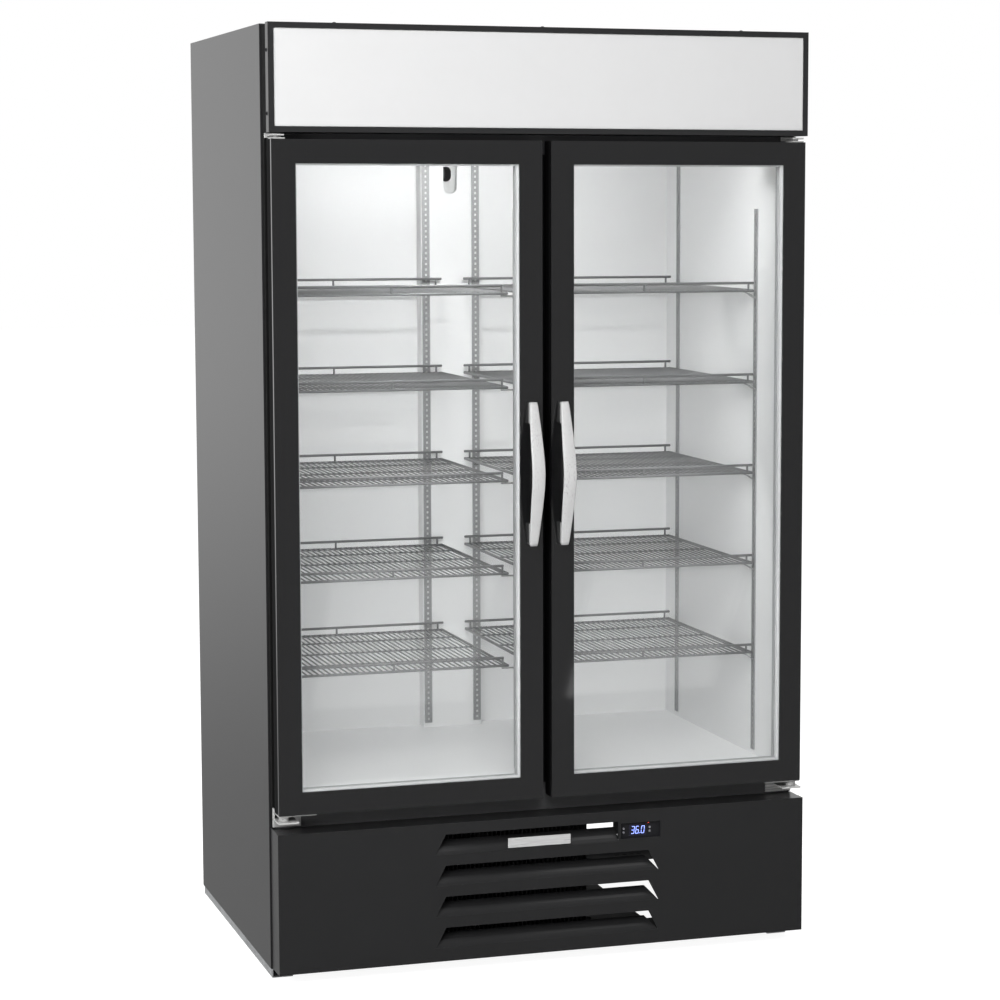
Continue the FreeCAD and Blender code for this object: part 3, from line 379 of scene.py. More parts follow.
def finish_of(label):
    """A node's own material, or that of its slot."""
    return OWN_FINISH.get(label) or MATERIALS[SLOT_OF[label]]


for label, obj in NODES.items():
    obj.data.materials.clear()
    obj.data.materials.append(finish_of(label))


# ---------------------------------------------------------------- piece helpers

def add_piece(name, mesh, body, slot, material=None, replaces=()):
    """Links a mesh as a piece that rides on a body and wears a slot's material."""
    piece = bpy.data.objects.new(name, mesh)
    bpy.context.scene.collection.objects.link(piece)
    mesh.materials.clear()
    mesh.materials.append(material or MATERIALS[slot])
    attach(piece, body)
    if replaces:
        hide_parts(*replaces)
    return piece


def mesh_from(bm, name, smooth=True, crease=None):
    """A mesh that shades smoothly, but for edges that turn by more than a crease in degrees."""
    bmesh.ops.recalc_face_normals(bm, faces=bm.faces)
    mesh = bpy.data.meshes.new(name)
    bm.to_mesh(mesh)
    bm.free()
    for face in mesh.polygons:
        face.use_smooth = smooth
    if crease is not None:
        mesh.set_sharp_from_angle(angle=math.radians(crease))
    return mesh


def soften(piece, width, angle=SHARP):
    """Rolls over a piece's sharp edges."""
    bevel = piece.modifiers.new("edges", "BEVEL")
    bevel.width = width
    bevel.segments = 2
    bevel.limit_method = "ANGLE"
    bevel.angle_limit = math.radians(angle)
    bevel.use_clamp_overlap = True


def body_of(label):
    return NODES[label]["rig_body"]


def welded(label):
    """A CAD node's mesh with its doubled vertices merged."""
    bm = bmesh.new()
    bm.from_mesh(NODES[label].data)
    bmesh.ops.remove_doubles(bm, verts=bm.verts, dist=WELD)
    return bm


def refined(label, width, turned=False):
    """Replaces a CAD node with the same shape, its edges rolled over; turned shapes shade round."""
    bm = welded(label)
    bmesh.ops.dissolve_limit(bm, angle_limit=math.radians(FLAT), verts=bm.verts, edges=bm.edges)
    mesh = mesh_from(bm, f"{label}_shape", turned, SHARP if turned else None)
    piece = add_piece(f"{label}_skin", mesh, body_of(label), SLOT_OF[label], finish_of(label),
                      [label])
    soften(piece, width)


def join_loops(bm, loops, closed=False):
    """Four-sided faces between neighbouring loops; closed joins the last loop to the first."""
    for first, second in zip(loops, loops[1:] + (loops[:1] if closed else [])):
        for index in range(len(first)):
            other = (index + 1) % len(first)
            bm.faces.new((first[index], first[other], second[other], second[index]))


def loft(bm, loops):
    """A skin over loops, closed at both ends."""
    join_loops(bm, loops)
    bm.faces.new(loops[0])
    bm.faces.new(loops[-1])


def ring(centre, along, radius, sides):
    """Points of a circle round a line."""
    turn = Vector(along).normalized().to_track_quat("Z", "Y")
    points = []
    for index in range(sides):
        angle = 2 * math.pi * index / sides
        spoke = Vector((radius * math.cos(angle), radius * math.sin(angle), 0))
        points.append(Vector(centre) + turn @ spoke)
    return points


# How far the dome at a wire's end stands out, as a share of its radius.
DOME = 0.45


def tube(bm, points, radius, sides=8):
    """A round wire through points, closed at both ends with a small dome."""
    points = [Vector(p) for p in points]
    loops = []
    for index, point in enumerate(points):
        before = points[max(index - 1, 0)]
        after = points[min(index + 1, len(points) - 1)]
        loops.append([bm.verts.new(p) for p in ring(point, after - before, radius, sides)])
    join_loops(bm, loops)
    for loop, tip, direction in ((loops[0], points[0], points[0] - points[1]),
                                 (loops[-1], points[-1], points[-1] - points[-2])):
        point = bm.verts.new(tip + direction.normalized() * radius * DOME)
        for index in range(sides):
            bm.faces.new((loop[index], loop[(index + 1) % sides], point))


def lathe(bm, centre, axis, profile, sides=32, hollow=False):
    """A turned shape of pairs: distance along the axis and radius. Hollow joins its ends."""
    axis = Vector(axis).normalized()
    loops = []
    for along, radius in profile:
        middle = Vector(centre) + axis * along
        loops.append([bm.verts.new(p) for p in ring(middle, axis, radius, sides)])
    if hollow:
        join_loops(bm, loops, closed=True)
    else:
        loft(bm, loops)


def bounds_of(points):
    lows = Vector([min(p[i] for p in points) for i in range(3)])
    highs = Vector([max(p[i] for p in points) for i in range(3)])
    return lows, highs


def loose_parts(label):
    """The box of each separate solid of a node, sorted from left to right, then low to high."""
    bm = welded(label)
    seen, boxes = set(), []
    for start in bm.verts:
        if start in seen:
            continue
        stack, members = [start], []
        seen.add(start)
        while stack:
            vert = stack.pop()
            members.append(vert.co.copy())
            for edge in vert.link_edges:
                other = edge.other_vert(vert)
                if other not in seen:
                    seen.add(other)
                    stack.append(other)
        boxes.append(bounds_of(members))
    bm.free()
    return sorted(boxes, key=lambda pair: (round(pair[0].x, 3), round(pair[0].z, 3)))


# ---------------------------------------------------------------- wire shelves

DECK_WIRES = 41
DECK_PITCH = 0.013
DECK_START = 0.004
DECK_LIFT = 0.002
# Radii of the wires, in metres.
WIRE = 0.00165
CROSS_WIRE = 0.002
POST_WIRE = 0.0025
ROD = 0.003
# How far the frame hangs below the raised rails.
DROP = 0.0175
# Each cross wire's place, as a share of the shelf's depth.
CROSS_PLACES = (0.236, 0.517, 0.798)
# How far a wire's end stops short so that its dome stays inside the shelf's box.
END_GAP = 0.0015


def shelf_mesh(low, high, outwards, name):
    """A welded wire shelf in its box: a deck on a rod frame, and raised rails."""
    bm = bmesh.new()
    inner = low.x if outwards > 0 else high.x
    width = high.x - low.x
    front, rear = low.y + ROD, high.y - ROD
    rail_z = high.z - ROD
    frame_z = rail_z - DROP
    deck_z = frame_z + DECK_LIFT

    def across(start, end, y, z, radius):
        tube(bm, [(inner + outwards * start, y, z), (inner + outwards * end, y, z)], radius)

    for index in range(DECK_WIRES):
        x = inner + outwards * (DECK_START + DECK_PITCH * index)
        tube(bm, [(x, front - END_GAP, deck_z), (x, rear + END_GAP, deck_z)], WIRE)
    for share in CROSS_PLACES:
        y = low.y + (high.y - low.y) * share
        across(0.002, width - 0.002, y, frame_z - 0.001, CROSS_WIRE)
    for y, rail_start, rail_end in ((front, 0.013, width - 0.002),
                                    (rear, END_GAP, width - END_GAP)):
        across(END_GAP, width - END_GAP, y, frame_z, ROD)
        across(rail_start, rail_end, y, rail_z, ROD)
        for along in (0.015, width / 2, width - 0.014):
            x = inner + outwards * along
            tube(bm, [(x, y, rail_z - 0.001), (x, y, frame_z + 0.001)], POST_WIRE)
    for along in (ROD, width - ROD):
        x = inner + outwards * along
        tube(bm, [(x, front, frame_z), (x, rear, frame_z)], ROD)
    return mesh_from(bm, name)


def wire_shelves():
    """Each compartment's shelves, numbered from the top."""
    for side, outwards in zip(SIDES, (-1, 1)):
        label = f"shelves_{side}"
        tiers = loose_parts(label)
        tiers.sort(key=lambda pair: -pair[0].z)
        for number, (low, high) in enumerate(tiers, start=1):
            mesh = shelf_mesh(low, high, outwards, f"{label}_{number}_shape")
            add_piece(f"shelf_{side}_{number}", mesh, body_of(label), SLOT_OF[label],
                      replaces=[label])


# The middle line of a clip: distance out from the strip, and height against the clip's top.
HOOK = ((0.0009, -0.0135), (0.0020, -0.0126), (0.0060, -0.0105), (0.0105, -0.0076),
        (0.0150, -0.0047), (0.0190, -0.0026), (0.0218, -0.0016), (0.0236, -0.0014))
HOOK_THICK = 0.0018
# How the clip narrows at its last two places.
HOOK_TIP = (0.92, 0.7)
# A wire hook's middle line: distance outwards, back from the mullion, and up.
WIRE_HOOK = ((0, 0.002, -0.011), (0, 0.0022, -0.004), (0, 0.004, -0.0008), (0, 0.008, 0),
             (0, 0.014, 0), (0.0015, 0.0165, 0), (0.005, 0.0178, 0))
HOOK_WIRE = 0.002
# Clips nearer to the middle than this, in metres, belong to the column or the mullion.
MIDDLE_REACH = 0.1


def bent_strip(bm, start, out, side, half):
    """A thin curved hook swept across its width, from a strip's face to under a shelf."""
    out, side = Vector(out), Vector(side)
    rows = []
    for index, (along, up) in enumerate(HOOK):
        before, after = HOOK[max(index - 1, 0)], HOOK[min(index + 1, len(HOOK) - 1)]
        run = Vector((after[0] - before[0], after[1] - before[1])).normalized()
        across = Vector((-run.y, run.x)) * HOOK_THICK / 2
        past = index - (len(HOOK) - len(HOOK_TIP))
        tip = HOOK_TIP[past] if past >= 0 else 1.0
        row = []
        for sign, edge in ((1, -1), (1, 1), (-1, 1), (-1, -1)):
            place = Vector(start) + out * (along + sign * across.x) + side * (half * tip * edge)
            row.append(bm.verts.new(place + Vector((0, 0, up + sign * across.y))))
        rows.append(row)
    loft(bm, rows)


def clips():
    """Bent hooks on the wall and rear strips, and wire hooks behind the mullion."""
    label = "shelf_clips"
    hooks, wires = bmesh.new(), bmesh.new()
    mullion_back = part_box("center_mullion")[1].y
    column_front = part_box("air_duct_column")[0].y
    for low, high in loose_parts(label):
        middle = (low + high) / 2
        outwards = 1 if middle.x > 0 else -1
        central = abs(middle.x) < MIDDLE_REACH
        if low.y > column_front - 0.04 and central:
            bent_strip(hooks, (middle.x, high.y, high.z), (0, -1, 0), (1, 0, 0),
                       (high.x - low.x) / 2)
        elif low.y < mullion_back + 0.03 and central:
            near, far = (low.x, high.x) if outwards > 0 else (high.x, low.x)
            x, z = near + outwards * 0.004, high.z - 0.0021
            path = [(x + outwards * out, low.y + back, z + up) for out, back, up in WIRE_HOOK]
            path.append((far - outwards * 0.001, low.y + WIRE_HOOK[-1][1], z))
            tube(wires, path, HOOK_WIRE, 10)
        else:
            wall = high.x if outwards > 0 else low.x
            bent_strip(hooks, (wall, middle.y, high.z), (-outwards, 0, 0), (0, 1, 0),
                       (high.y - low.y) / 2)
    piece = add_piece("clip_hooks", mesh_from(hooks, "clip_hooks_shape", False), body_of(label),
                      SLOT_OF[label], replaces=[label])
    soften(piece, 0.0005, 50)
    add_piece("clip_wires", mesh_from(wires, "clip_wires_shape"), body_of(label),
              SLOT_OF[label], replaces=[label])


# ---------------------------------------------------------------- door pulls

def rounded_section(width, depth, corner, steps=4):
    """A rounded rectangle as pairs, anticlockwise, centred on the origin."""
    points = []
    for sx, sy, start in ((1, 1, 0), (-1, 1, 90), (-1, -1, 180), (1, -1, 270)):
        for step in range(steps + 1):
            angle = math.radians(start + 90 * step / steps)
            points.append((sx * (width / 2 - corner) + corner * math.cos(angle),
                           sy * (depth / 2 - corner) + corner * math.sin(angle)))
    return points


# A pull's sizes in metres.
PULL_THICK = 0.007
PULL_END_WIDTH = 0.0175
PULL_END_OUT = 0.017
PULL_CORNER = 0.0026
PULL_CROWN = 0.0007
PULL_STEPS = 40
# The share of a pull's half length over which its end rounds off, and its thickness there.
PULL_TIP = 0.025
PULL_TIP_THICK = 0.72
FOOT_LENGTH = 0.047
FOOT_WIDTH = 0.013
FOOT_CORNER = 0.0015
# How far a foot starts from the pull's end, and how far it reaches into the pull's thickness.
FOOT_INSET = 0.0015
FOOT_SINK = 0.6
# Shares of a foot's length, and of its width there.
FOOT_ROWS = ((0.0, 0.86), (0.03, 0.96), (0.08, 1.0), (0.9, 1.0), (0.96, 0.96), (1.0, 0.84))
# The bow's flat middle and the softness of its turn into each arm, as shares of the half length.
BOW_FLAT = 0.11
BOW_TURN = 0.14


def bowed(t):
    """Share of the bow given up at t, from -1 to 1: flat in the middle, with straight arms."""
    along = abs(t) - BOW_FLAT
    lift = (along + math.sqrt(along * along + BOW_TURN * BOW_TURN)) / 2
    return lift / (1 - BOW_FLAT + BOW_TURN * BOW_TURN / (4 * (1 - BOW_FLAT)))


def pull_mesh(label, door_face):
    """A bowed pull: wide and proud in the middle, narrow at its ends, on two feet."""
    low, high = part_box(label)
    centre_x, centre_z = (low.x + high.x) / 2, (low.z + high.z) / 2
    half = (high.z - low.z) / 2
    bow = door_face - PULL_END_OUT - low.y
    bm = bmesh.new()
    loops = []
    for step in range(PULL_STEPS + 1):
        t = -1 + 2 * step / PULL_STEPS
        end = min(1.0, (1 - abs(t)) / PULL_TIP)
        squeeze = PULL_TIP_THICK + (1 - PULL_TIP_THICK) * math.sin(end * math.pi / 2)
        width = PULL_END_WIDTH + (high.x - low.x - PULL_END_WIDTH) * (1 - t * t)
        width *= 1 - (1 - squeeze) * 0.35
        y = low.y + bow * (bowed(t) - bowed(0)) + PULL_THICK / 2
        slope = math.atan2(bow * (bowed(t + 0.01) - bowed(t - 0.01)) * 50, half)
        loop = []
        for dx, dy in rounded_section(width, PULL_THICK * squeeze, PULL_CORNER * squeeze):
            crown = -PULL_CROWN * (1 - (2 * dx / width) ** 2) if dy < 0 else 0
            offset = dy + crown + PULL_CROWN
            loop.append(bm.verts.new((centre_x + dx, y + offset * math.cos(slope),
                                      centre_z + t * half - offset * math.sin(slope) * 0.5)))
        loops.append(loop)
    loft(bm, loops)
    for sign in (-1, 1):
        rows = []
        for share, narrow in FOOT_ROWS:
            along = half - FOOT_INSET - (FOOT_LENGTH - FOOT_INSET) * share
            inner = low.y + bow * bowed(along / half) + PULL_THICK * FOOT_SINK
            depth = door_face - inner
            section = rounded_section(FOOT_WIDTH * narrow, depth, FOOT_CORNER)
            rows.append([bm.verts.new((centre_x + dx, inner + depth / 2 + dy,
                                       centre_z + sign * along)) for dx, dy in section])
        loft(bm, rows)
    return mesh_from(bm, f"{label}_shape")


def door_pulls():
    """A pull for each door, standing on the door's face."""
    for side in SIDES:
        label = f"door_handle_{side}"
        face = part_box(f"door_frame_{side}")[0].y
        add_piece(f"pull_{side}", pull_mesh(label, face), body_of(label), SLOT_OF[label],
                  replaces=[label])


# ---------------------------------------------------------------- controller digits

SEGMENTS = {"0": "abcdef", "3": "abcdg", "6": "acdefg"}
# A digit's height as a share of the window's, and its other sizes as shares of its height or width.
DIGIT_TALL = 0.68
DIGIT_WIDE = 0.45
DIGIT_STEP = 1.35
POINT_STEP = 0.38
BAR_WIDE = 0.15
BAR_LENGTH = 0.96
SLANT = 0.12
# Half the thickness of a lit segment, in metres.
BAR_HALF = 0.0001


def segment_box(letter, width, height):
    """Centre and size of one of the seven segments, from the digit's lower left corner."""
    bar = width * BAR_WIDE
    middle = (height - bar) / 2
    places = {
        "a": (width / 2, height - bar / 2, width - bar, bar),
        "b": (width - bar / 2, height * 0.75, bar, middle),
        "c": (width - bar / 2, height * 0.25, bar, middle),
        "d": (width / 2, bar / 2, width - bar, bar),
        "e": (bar / 2, height * 0.25, bar, middle),
        "f": (bar / 2, height * 0.75, bar, middle),
        "g": (width / 2, height / 2, width - bar, bar),
    }
    return places[letter]


def lit_bar(bm, x, z, width, height):
    """A six-sided lit segment, leaning as the digits do."""
    tip = min(width, height) / 2
    if width > height:
        outline = [(-width / 2, 0), (-width / 2 + tip, -tip), (width / 2 - tip, -tip),
                   (width / 2, 0), (width / 2 - tip, tip), (-width / 2 + tip, tip)]
    else:
        outline = [(0, -height / 2), (tip, -height / 2 + tip), (tip, height / 2 - tip),
                   (0, height / 2), (-tip, height / 2 - tip), (-tip, -height / 2 + tip)]
    front, back = [], []
    for dx, dz in outline:
        lean = (z + dz) * SLANT
        front.append(bm.verts.new((x + dx + lean, -BAR_HALF, z + dz)))
        back.append(bm.verts.new((x + dx + lean, BAR_HALF, z + dz)))
    loft(bm, [front, back])


def readout():
    """A temperature on the controller's window, with a small lamp beside it."""
    low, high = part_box("controller_display")
    tall = (high.z - low.z) * DIGIT_TALL
    wide = tall * DIGIT_WIDE
    base_z = (low.z + high.z) / 2 - tall / 2
    start_x = low.x + (high.x - low.x) * 0.10
    bm = bmesh.new()
    x = 0.0
    for sign in "36.0":
        if sign == ".":
            lit_bar(bm, x + wide * 0.06, wide * 0.14, wide * 0.27, wide * 0.28)
            x += wide * POINT_STEP
            continue
        for letter in SEGMENTS[sign]:
            cx, cz, sx, sz = segment_box(letter, wide, tall)
            lit_bar(bm, x + cx, cz, sx * BAR_LENGTH, sz * BAR_LENGTH)
        x += wide * DIGIT_STEP
    bmesh.ops.translate(bm, verts=bm.verts, vec=(start_x, low.y - 0.00015, base_z))
    add_piece("display_digits", mesh_from(bm, "display_digits_shape", False),
              body_of("controller_display"), "display_glass", LED_BLUE)
    bm = bmesh.new()
    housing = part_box("controller_housing")[1].z
    lathe(bm, (high.x + 0.005, low.y + 0.0004, (high.z + housing) / 2 - 0.002), (0, -1, 0),
          [(-0.0002, 0.0007), (0.0001, 0.0007), (0.0003, 0.0004), (0.00035, 0.0001)], 16)
    add_piece("display_lamp", mesh_from(bm, "display_lamp_shape"), body_of("controller_display"),
              "display_glass", LED_RED)


# ---------------------------------------------------------------- screws

# A screw head's outline: shares of its height and of its radius.
SCREW_HEAD = ((0, 0.96), (0.25, 1.0), (0.6, 0.9), (0.9, 0.62), (1.0, 0.42), (0.98, 0.3),
              (0.35, 0.12))


def screw_mesh(low, high, name):
    """A pan head with a round recess, its axis along the thinnest side of its box."""
    span = high - low
    centre = (low + high) / 2
    axis_index = min(range(3), key=lambda i: span[i])
    outward = Vector([0, 0, 0])
    middle = (CAD_BOX[0] + CAD_BOX[1]) / 2
    outward[axis_index] = 1 if centre[axis_index] > middle[axis_index] else -1
    height = span[axis_index]
    radius = max(span) / 2
    base = centre - outward * (height / 2)
    bm = bmesh.new()
    lathe(bm, base, outward, [(height * up, radius * wide) for up, wide in SCREW_HEAD], 24)
    return mesh_from(bm, name)


def screws():
    label = "exterior_screws"
    for number, (low, high) in enumerate(loose_parts(label), start=1):
        mesh = screw_mesh(low, high, f"screw_{number}_shape")
        add_piece(f"screw_{number}", mesh, body_of(label), SLOT_OF[label],
                  replaces=[label])


# ---------------------------------------------------------------- gaskets, glazing and fans

# A magnetic gasket's outline: inward distance in metres, and share of the way from door to cabinet.
GASKET = ((0.0042, 0.0), (0.0047, 0.15), (0.0015, 0.28), (0.0010, 0.42), (0.0034, 0.54),
          (0.0012, 0.62), (0.0, 0.70), (0.0, 0.95), (0.0007, 1.0), (0.0133, 1.0), (0.014, 0.95),
          (0.014, 0.70), (0.0128, 0.62), (0.0106, 0.54), (0.0130, 0.42), (0.0125, 0.28),
          (0.0093, 0.15), (0.0098, 0.0))
# A warm-edge glass spacer with a seam, and the bead that holds the glass: the same pairs.
SPACER = ((0.0003, 0.01), (0.0124, 0.01), (0.0135, 0.12), (0.0135, 0.44), (0.0130, 0.47),
          (0.0130, 0.53), (0.0135, 0.56), (0.0135, 0.88), (0.0124, 0.99), (0.0003, 0.99))
BEAD = ((-0.0004, 0.0), (0.0030, 0.0), (0.0032, 0.06), (0.0028, 0.13), (0.0018, 0.22),
        (0.0016, 0.85), (0.0012, 0.95), (0.0004, 1.0), (-0.0004, 1.0))
# How far the door frame holds the glass at its edge, in metres.
GLASS_BITE = 0.010
CREASE = 50


def mitred_ring(low, high, profile, name):
    """A profile run round a door's outline with mitred corners."""
    bm = bmesh.new()
    corners = []
    for right, top in ((False, False), (True, False), (True, True), (False, True)):
        loop = []
        for inward, share in profile:
            x = high.x - inward if right else low.x + inward
            z = high.z - inward if top else low.z + inward
            loop.append(bm.verts.new((x, low.y + (high.y - low.y) * share, z)))
        corners.append(loop)
    join_loops(bm, corners, closed=True)
    return mesh_from(bm, name, crease=CREASE)


def door_rings():
    """Each door's bellows gasket, the spacer inside its glass and the bead behind the glass."""
    for side in SIDES:
        for label, kind, profile in ((f"door_gasket_{side}", "gasket", GASKET),
                                     (f"glass_spacer_{side}", "spacer", SPACER)):
            mesh = mitred_ring(*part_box(label), profile, f"{kind}_{side}_shape")
            add_piece(f"{kind}_{side}", mesh, body_of(label), SLOT_OF[label], replaces=[label])
        low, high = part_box(f"glass_spacer_{side}")
        low += Vector((GLASS_BITE, 0, GLASS_BITE))
        high -= Vector((GLASS_BITE, 0, GLASS_BITE))
        low.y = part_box(f"door_glass_{side}")[1].y + 0.0002
        high.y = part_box(f"door_frame_{side}")[1].y - 0.0012
        mesh = mitred_ring(low, high, BEAD, f"glazing_bead_{side}_shape")
        add_piece(f"glazing_bead_{side}", mesh, body_of(f"door_frame_{side}"), "white_spacer")


def sill_tape():
    """A rubber tape under the sill that closes the joint with the lower panel's top fold."""
    low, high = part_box("front_frame")
    depth, height, end_gap = high.y - low.y - 0.001, 0.0045, 0.007
    bm = bmesh.new()
    rows = []
    for x in (low.x + end_gap, high.x - end_gap):
        rows.append([bm.verts.new((x, (low.y + high.y) / 2 + dy, low.z - height / 2 + dz))
                     for dy, dz in rounded_section(depth, height, 0.0006, 2)])
    loft(bm, rows)
    add_piece("sill_tape", mesh_from(bm, "sill_tape_shape", False), body_of("front_frame"),
              "gasket_rubber")


def port_sleeve():
    """A dark rubber cup that lines the round-ended port in the rear wall."""
    column_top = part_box("air_duct_column")[1]
    half, depth, sides = 0.0045, 0.048, 16
    centre_z = column_top.z - 0.032
    bm = bmesh.new()
    rows = []
    for along, radius in ((depth + 0.001, 0.0128), (depth, 0.0134), (0.0, 0.0134),
                          (-0.0004, 0.0130), (0.0, 0.0124), (depth - 0.002, 0.0120)):
        row = []
        for index in range(2 * sides):
            angle = math.pi * (index + 0.5) / sides
            level = half if angle < math.pi else -half
            row.append(bm.verts.new((radius * math.cos(angle), column_top.y + 0.0006 + along,
                                     centre_z + level + radius * math.sin(angle))))
        rows.append(row)
    loft(bm, rows)
    mesh = mesh_from(bm, "line_port_sleeve_shape", crease=CREASE)
    add_piece("line_port_sleeve", mesh, body_of("liner_walls"), "gasket_rubber")


BLADES = 5
BLADE_STEPS = 8
BLADE_SPANS = 7
BLADE_HALF = 0.0008
# The hub's radius, and where a blade starts and ends: shares of the wheel's or hub's radius.
HUB_SHARE = 0.3
BLADE_ROOT = 0.95
BLADE_TIP = 0.985
SHAFT_BORE = 0.0042
# The box of a five-bladed wheel is this many radii high.
WHEEL_SPAN = 1.81


def fan_mesh(centre, radius, depth, name):
    """A moulded axial wheel round the Y axis: a capped hub with cambered, twisted blades."""
    bm = bmesh.new()
    hub = radius * HUB_SHARE
    profile = [(-depth / 2, SHAFT_BORE), (-depth / 2, hub * 0.86), (-depth * 0.42, hub * 0.96),
               (-depth * 0.3, hub), (depth / 2, hub), (depth / 2, hub * 0.9),
               (depth * 0.1, hub * 0.86), (depth * 0.1, SHAFT_BORE)]
    lathe(bm, centre, (0, 1, 0), profile, 40, hollow=True)
    root, tip = hub * BLADE_ROOT, radius * BLADE_TIP
    for blade in range(BLADES):
        rows = []
        for step in range(BLADE_STEPS + 1):
            share = step / BLADE_STEPS
            reach = root + (tip - root) * share
            pitch = math.radians(34 - 16 * share)
            chord = radius * (0.36 + 0.26 * math.sin(share * 2.2))
            sweep = 0.32 * share * share
            row = []
            for span in range(BLADE_SPANS + 1):
                t = -0.5 + span / BLADE_SPANS
                angle = 2 * math.pi * blade / BLADES + sweep
                angle += t * chord * math.cos(pitch) / reach
                lift = t * chord * math.sin(pitch) - depth * 0.16 * (1 - 4 * t * t)
                lift = max(-depth * 0.47, min(depth * 0.47, lift))
                row.append((reach * math.sin(angle), lift, reach * math.cos(angle)))
            rows.append(row)
        skins = []
        for offset in (-BLADE_HALF, BLADE_HALF):
            skins.append([[bm.verts.new(Vector(centre) + Vector((x, y + offset, z)))
                           for x, y, z in row] for row in rows])
        rims = []
        for skin in skins:
            for first, second in zip(skin, skin[1:]):
                for index in range(BLADE_SPANS):
                    bm.faces.new((first[index], first[index + 1],
                                  second[index + 1], second[index]))
            rims.append(skin[0][:-1] + [row[-1] for row in skin[:-1]] + skin[-1][:0:-1]
                        + [row[0] for row in skin[:0:-1]])
        join_loops(bm, rims)
    return mesh_from(bm, name, crease=40)


def fans():
    """A wheel on each spinning joint's axis."""
    for joint in frame["record"]["behaviour"]["joints"]:
        if not joint["name"].endswith("_spin"):
            continue
        label = joint["name"].removesuffix("_spin")
        low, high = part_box(label)
        radius = (high.z - low.z) / WHEEL_SPAN
        mesh = fan_mesh(joint["pos_m"], radius, high.y - low.y, f"{label}_shape")
        add_piece(f"{label}_wheel_skin", mesh, joint["child"], SLOT_OF[label],
                  replaces=[label])


# ---------------------------------------------------------------- refined CAD shapes

# The width of each node's rolled edges, in metres.
EDGES = {
    "sign_frame": 0.0008, "header_box": 0.0008,
    "side_panel_left": 0.0007, "side_panel_right": 0.0007,
    "front_frame": 0.0012, "mullion_cap": 0.0015, "center_mullion": 0.0015,
    "door_frame_left": 0.0012, "door_frame_right": 0.0012,
    "lower_panel": 0.0006, "nameplate": 0.0005, "controller_housing": 0.0006,
    "hinge_plates_left": 0.0007, "hinge_plates_right": 0.0007, "hinge_brackets": 0.0007,
    "base_rails": 0.001, "base_frame": 0.0008, "electrical_box": 0.002,
    "controller_key_1": 0.0004, "controller_key_2": 0.0004,
    "controller_key_3": 0.0004, "controller_key_4": 0.0004,
    "sign_panel": 0.0004, "top_panel": 0.0006, "back_panel": 0.0006, "base_pan": 0.0006,
    "air_duct_column": 0.0015, "evaporator_housing": 0.0008,
}
TURNED_EDGES = {
    "compressor": 0.003, "cord_gland": 0.0008, "condenser_fan_motor": 0.0015,
    "evaporator_motors": 0.0015, "hinge_pins": 0.0006,
}

for label, width in EDGES.items():
    refined(label, width)
for label, width in TURNED_EDGES.items():
    refined(label, width, turned=True)
door_rings()
port_sleeve()
sill_tape()
fans()
wire_shelves()
clips()
door_pulls()
readout()
screws()


# ---------------------------------------------------------------- stage, lights and camera

def plain_floor():
    """Pale paper that looks almost white to the camera."""
    bm = bmesh.new()
    bmesh.ops.create_grid(bm, x_segments=2, y_segments=2, size=30)
    floor = bpy.data.objects.new("studio_floor", mesh_from(bm, "studio_floor_shape"))
    bpy.context.scene.collection.objects.link(floor)
    g = material_graph("studio_floor")
    tone = g.blend(g.remap(g.noise(0.6, 3), 0, 1), (0.85, 0.85, 0.85), (0.87, 0.87, 0.87))
    paper = g.add("BsdfDiffuse", Color=tone)
    white = g.add("Emission", Strength=1.32)
    amount = g.maths("MULTIPLY", g.add("LightPath").outputs["Is Camera Ray"], 0.7)
    floor.data.materials.append(
        g.finish(g.mix_shaders(amount, paper.outputs[0], white.outputs[0])))
    floor.visible_glossy = False
    floor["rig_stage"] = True


def sky():
    """White all round for the eye; for light, bright behind, dim in front and darker below."""
    world = bpy.data.worlds.new("studio")
    bpy.context.scene.world = world
    g = Graph(world)
    depth = g.remap(g.axis("Y", g.around), 0.0, 0.75, -0.5, 0.8)
    height = g.remap(g.axis("Z", g.around), 0.2, 1.0, -0.2, -0.07)
    strength = g.maths("MULTIPLY_ADD", depth, height, 0.25)
    light = g.add("Background", Color=(1, 1, 1, 1), Strength=strength)
    plain = g.add("Background", Color=(1, 1, 1, 1))
    seen = g.add("LightPath").outputs["Is Camera Ray"]
    g.finish(g.mix_shaders(seen, light.outputs[0], plain.outputs[0]), "OutputWorld")


def soft_light(name, place, target, size, power, mirrored=True, height=None):
    data = bpy.data.lights.new(name, "AREA")
    data.shape = "RECTANGLE"
    data.size = size
    data.size_y = height or size
    data.energy = power
    light = bpy.data.objects.new(name, data)
    bpy.context.scene.collection.objects.link(light)
    light.location = place
    light.rotation_euler = (Vector(target) - Vector(place)).to_track_quat("-Z", "Y").to_euler()
    light.visible_glossy = mirrored
    light.visible_camera = False


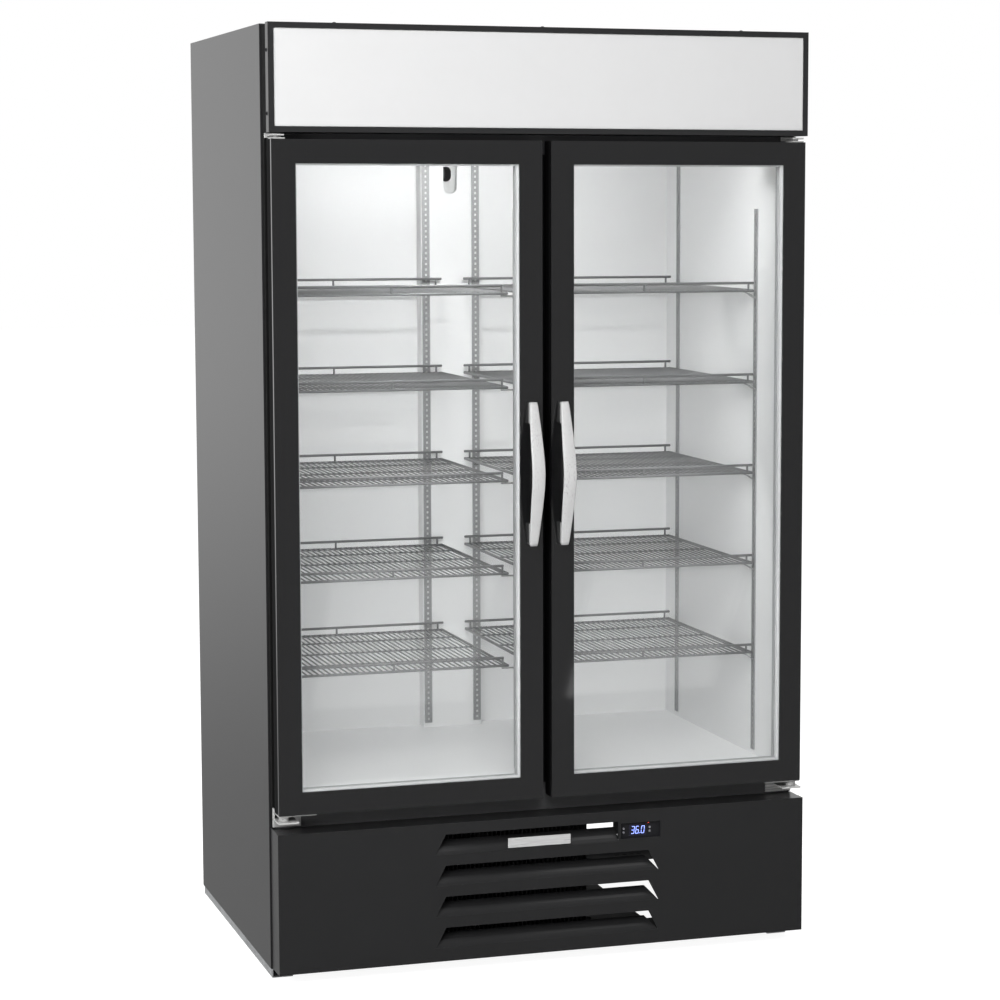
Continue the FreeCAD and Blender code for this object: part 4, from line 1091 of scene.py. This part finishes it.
# Name, place, size in metres and power in watts.
STUDIO_LIGHTS = (
    ("front_fill", (-1.6, -4.2, 4.0), 3.0, 430),
    ("left_soft", (-4.2, -3.4, 2.2), 2.5, 320),
    ("top_soft", (0.5, 0.5, 4.5), 3.0, 140),
)
# Place from left to right, and power.
LAMP_LIGHTS = ((-0.08, 3.3), (0.4, 0.35))
WASH_LIGHTS = (("left", -0.29, 1.12), ("right", 0.29, 1.25))


def lights():
    """Soft studio light, light from the cabinet's own lamp, and a wash from the doorway."""
    low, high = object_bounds()
    middle = (low + high) / 2
    for name, place, size, power in STUDIO_LIGHTS:
        soft_light(name, place, middle, size, power, mirrored=False)
    lamp_low, lamp_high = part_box("interior_lamp")
    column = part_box("air_duct_column")[0].y
    ceiling = lamp_low.z - 0.01
    y = lamp_high.y + 0.03
    for x, power in LAMP_LIGHTS:
        soft_light(f"lamp_{x:+.1f}", (x, y, ceiling), (x, column, ceiling - 0.5), 0.16, power,
                   height=0.03)
    door_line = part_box("front_frame")[1].y + 0.03
    for name, x, power in WASH_LIGHTS:
        soft_light(f"wash_{name}", (x, door_line, 1.0), (x, column, 0.55), 0.36, power,
                   height=1.1)


# The camera that was solved from the photograph: metres, degrees, and millimetres of lens.
EYE = (-1.79496, -6.02036, 1.65866)
YAW, PITCH = 18.39, 6.37
SENSOR, LENS = 36, 99.66
SHIFT_X, SHIFT_Y = -0.07986, 0.00897


def camera():
    data = bpy.data.cameras.new("camera")
    data.sensor_width = SENSOR
    data.lens = LENS
    data.shift_x = SHIFT_X
    data.shift_y = SHIFT_Y
    data.clip_end = 100
    eye = bpy.data.objects.new("camera", data)
    bpy.context.scene.collection.objects.link(eye)
    yaw, pitch = math.radians(YAW), math.radians(PITCH)
    forward = Vector((math.sin(yaw) * math.cos(pitch), math.cos(yaw) * math.cos(pitch),
                      -math.sin(pitch)))
    eye.location = EYE
    eye.rotation_euler = forward.to_track_quat("-Z", "Y").to_euler()
    bpy.context.scene.camera = eye


bpy.context.scene.view_settings.view_transform = "Standard"
plain_floor()
sky()
lights()
camera()
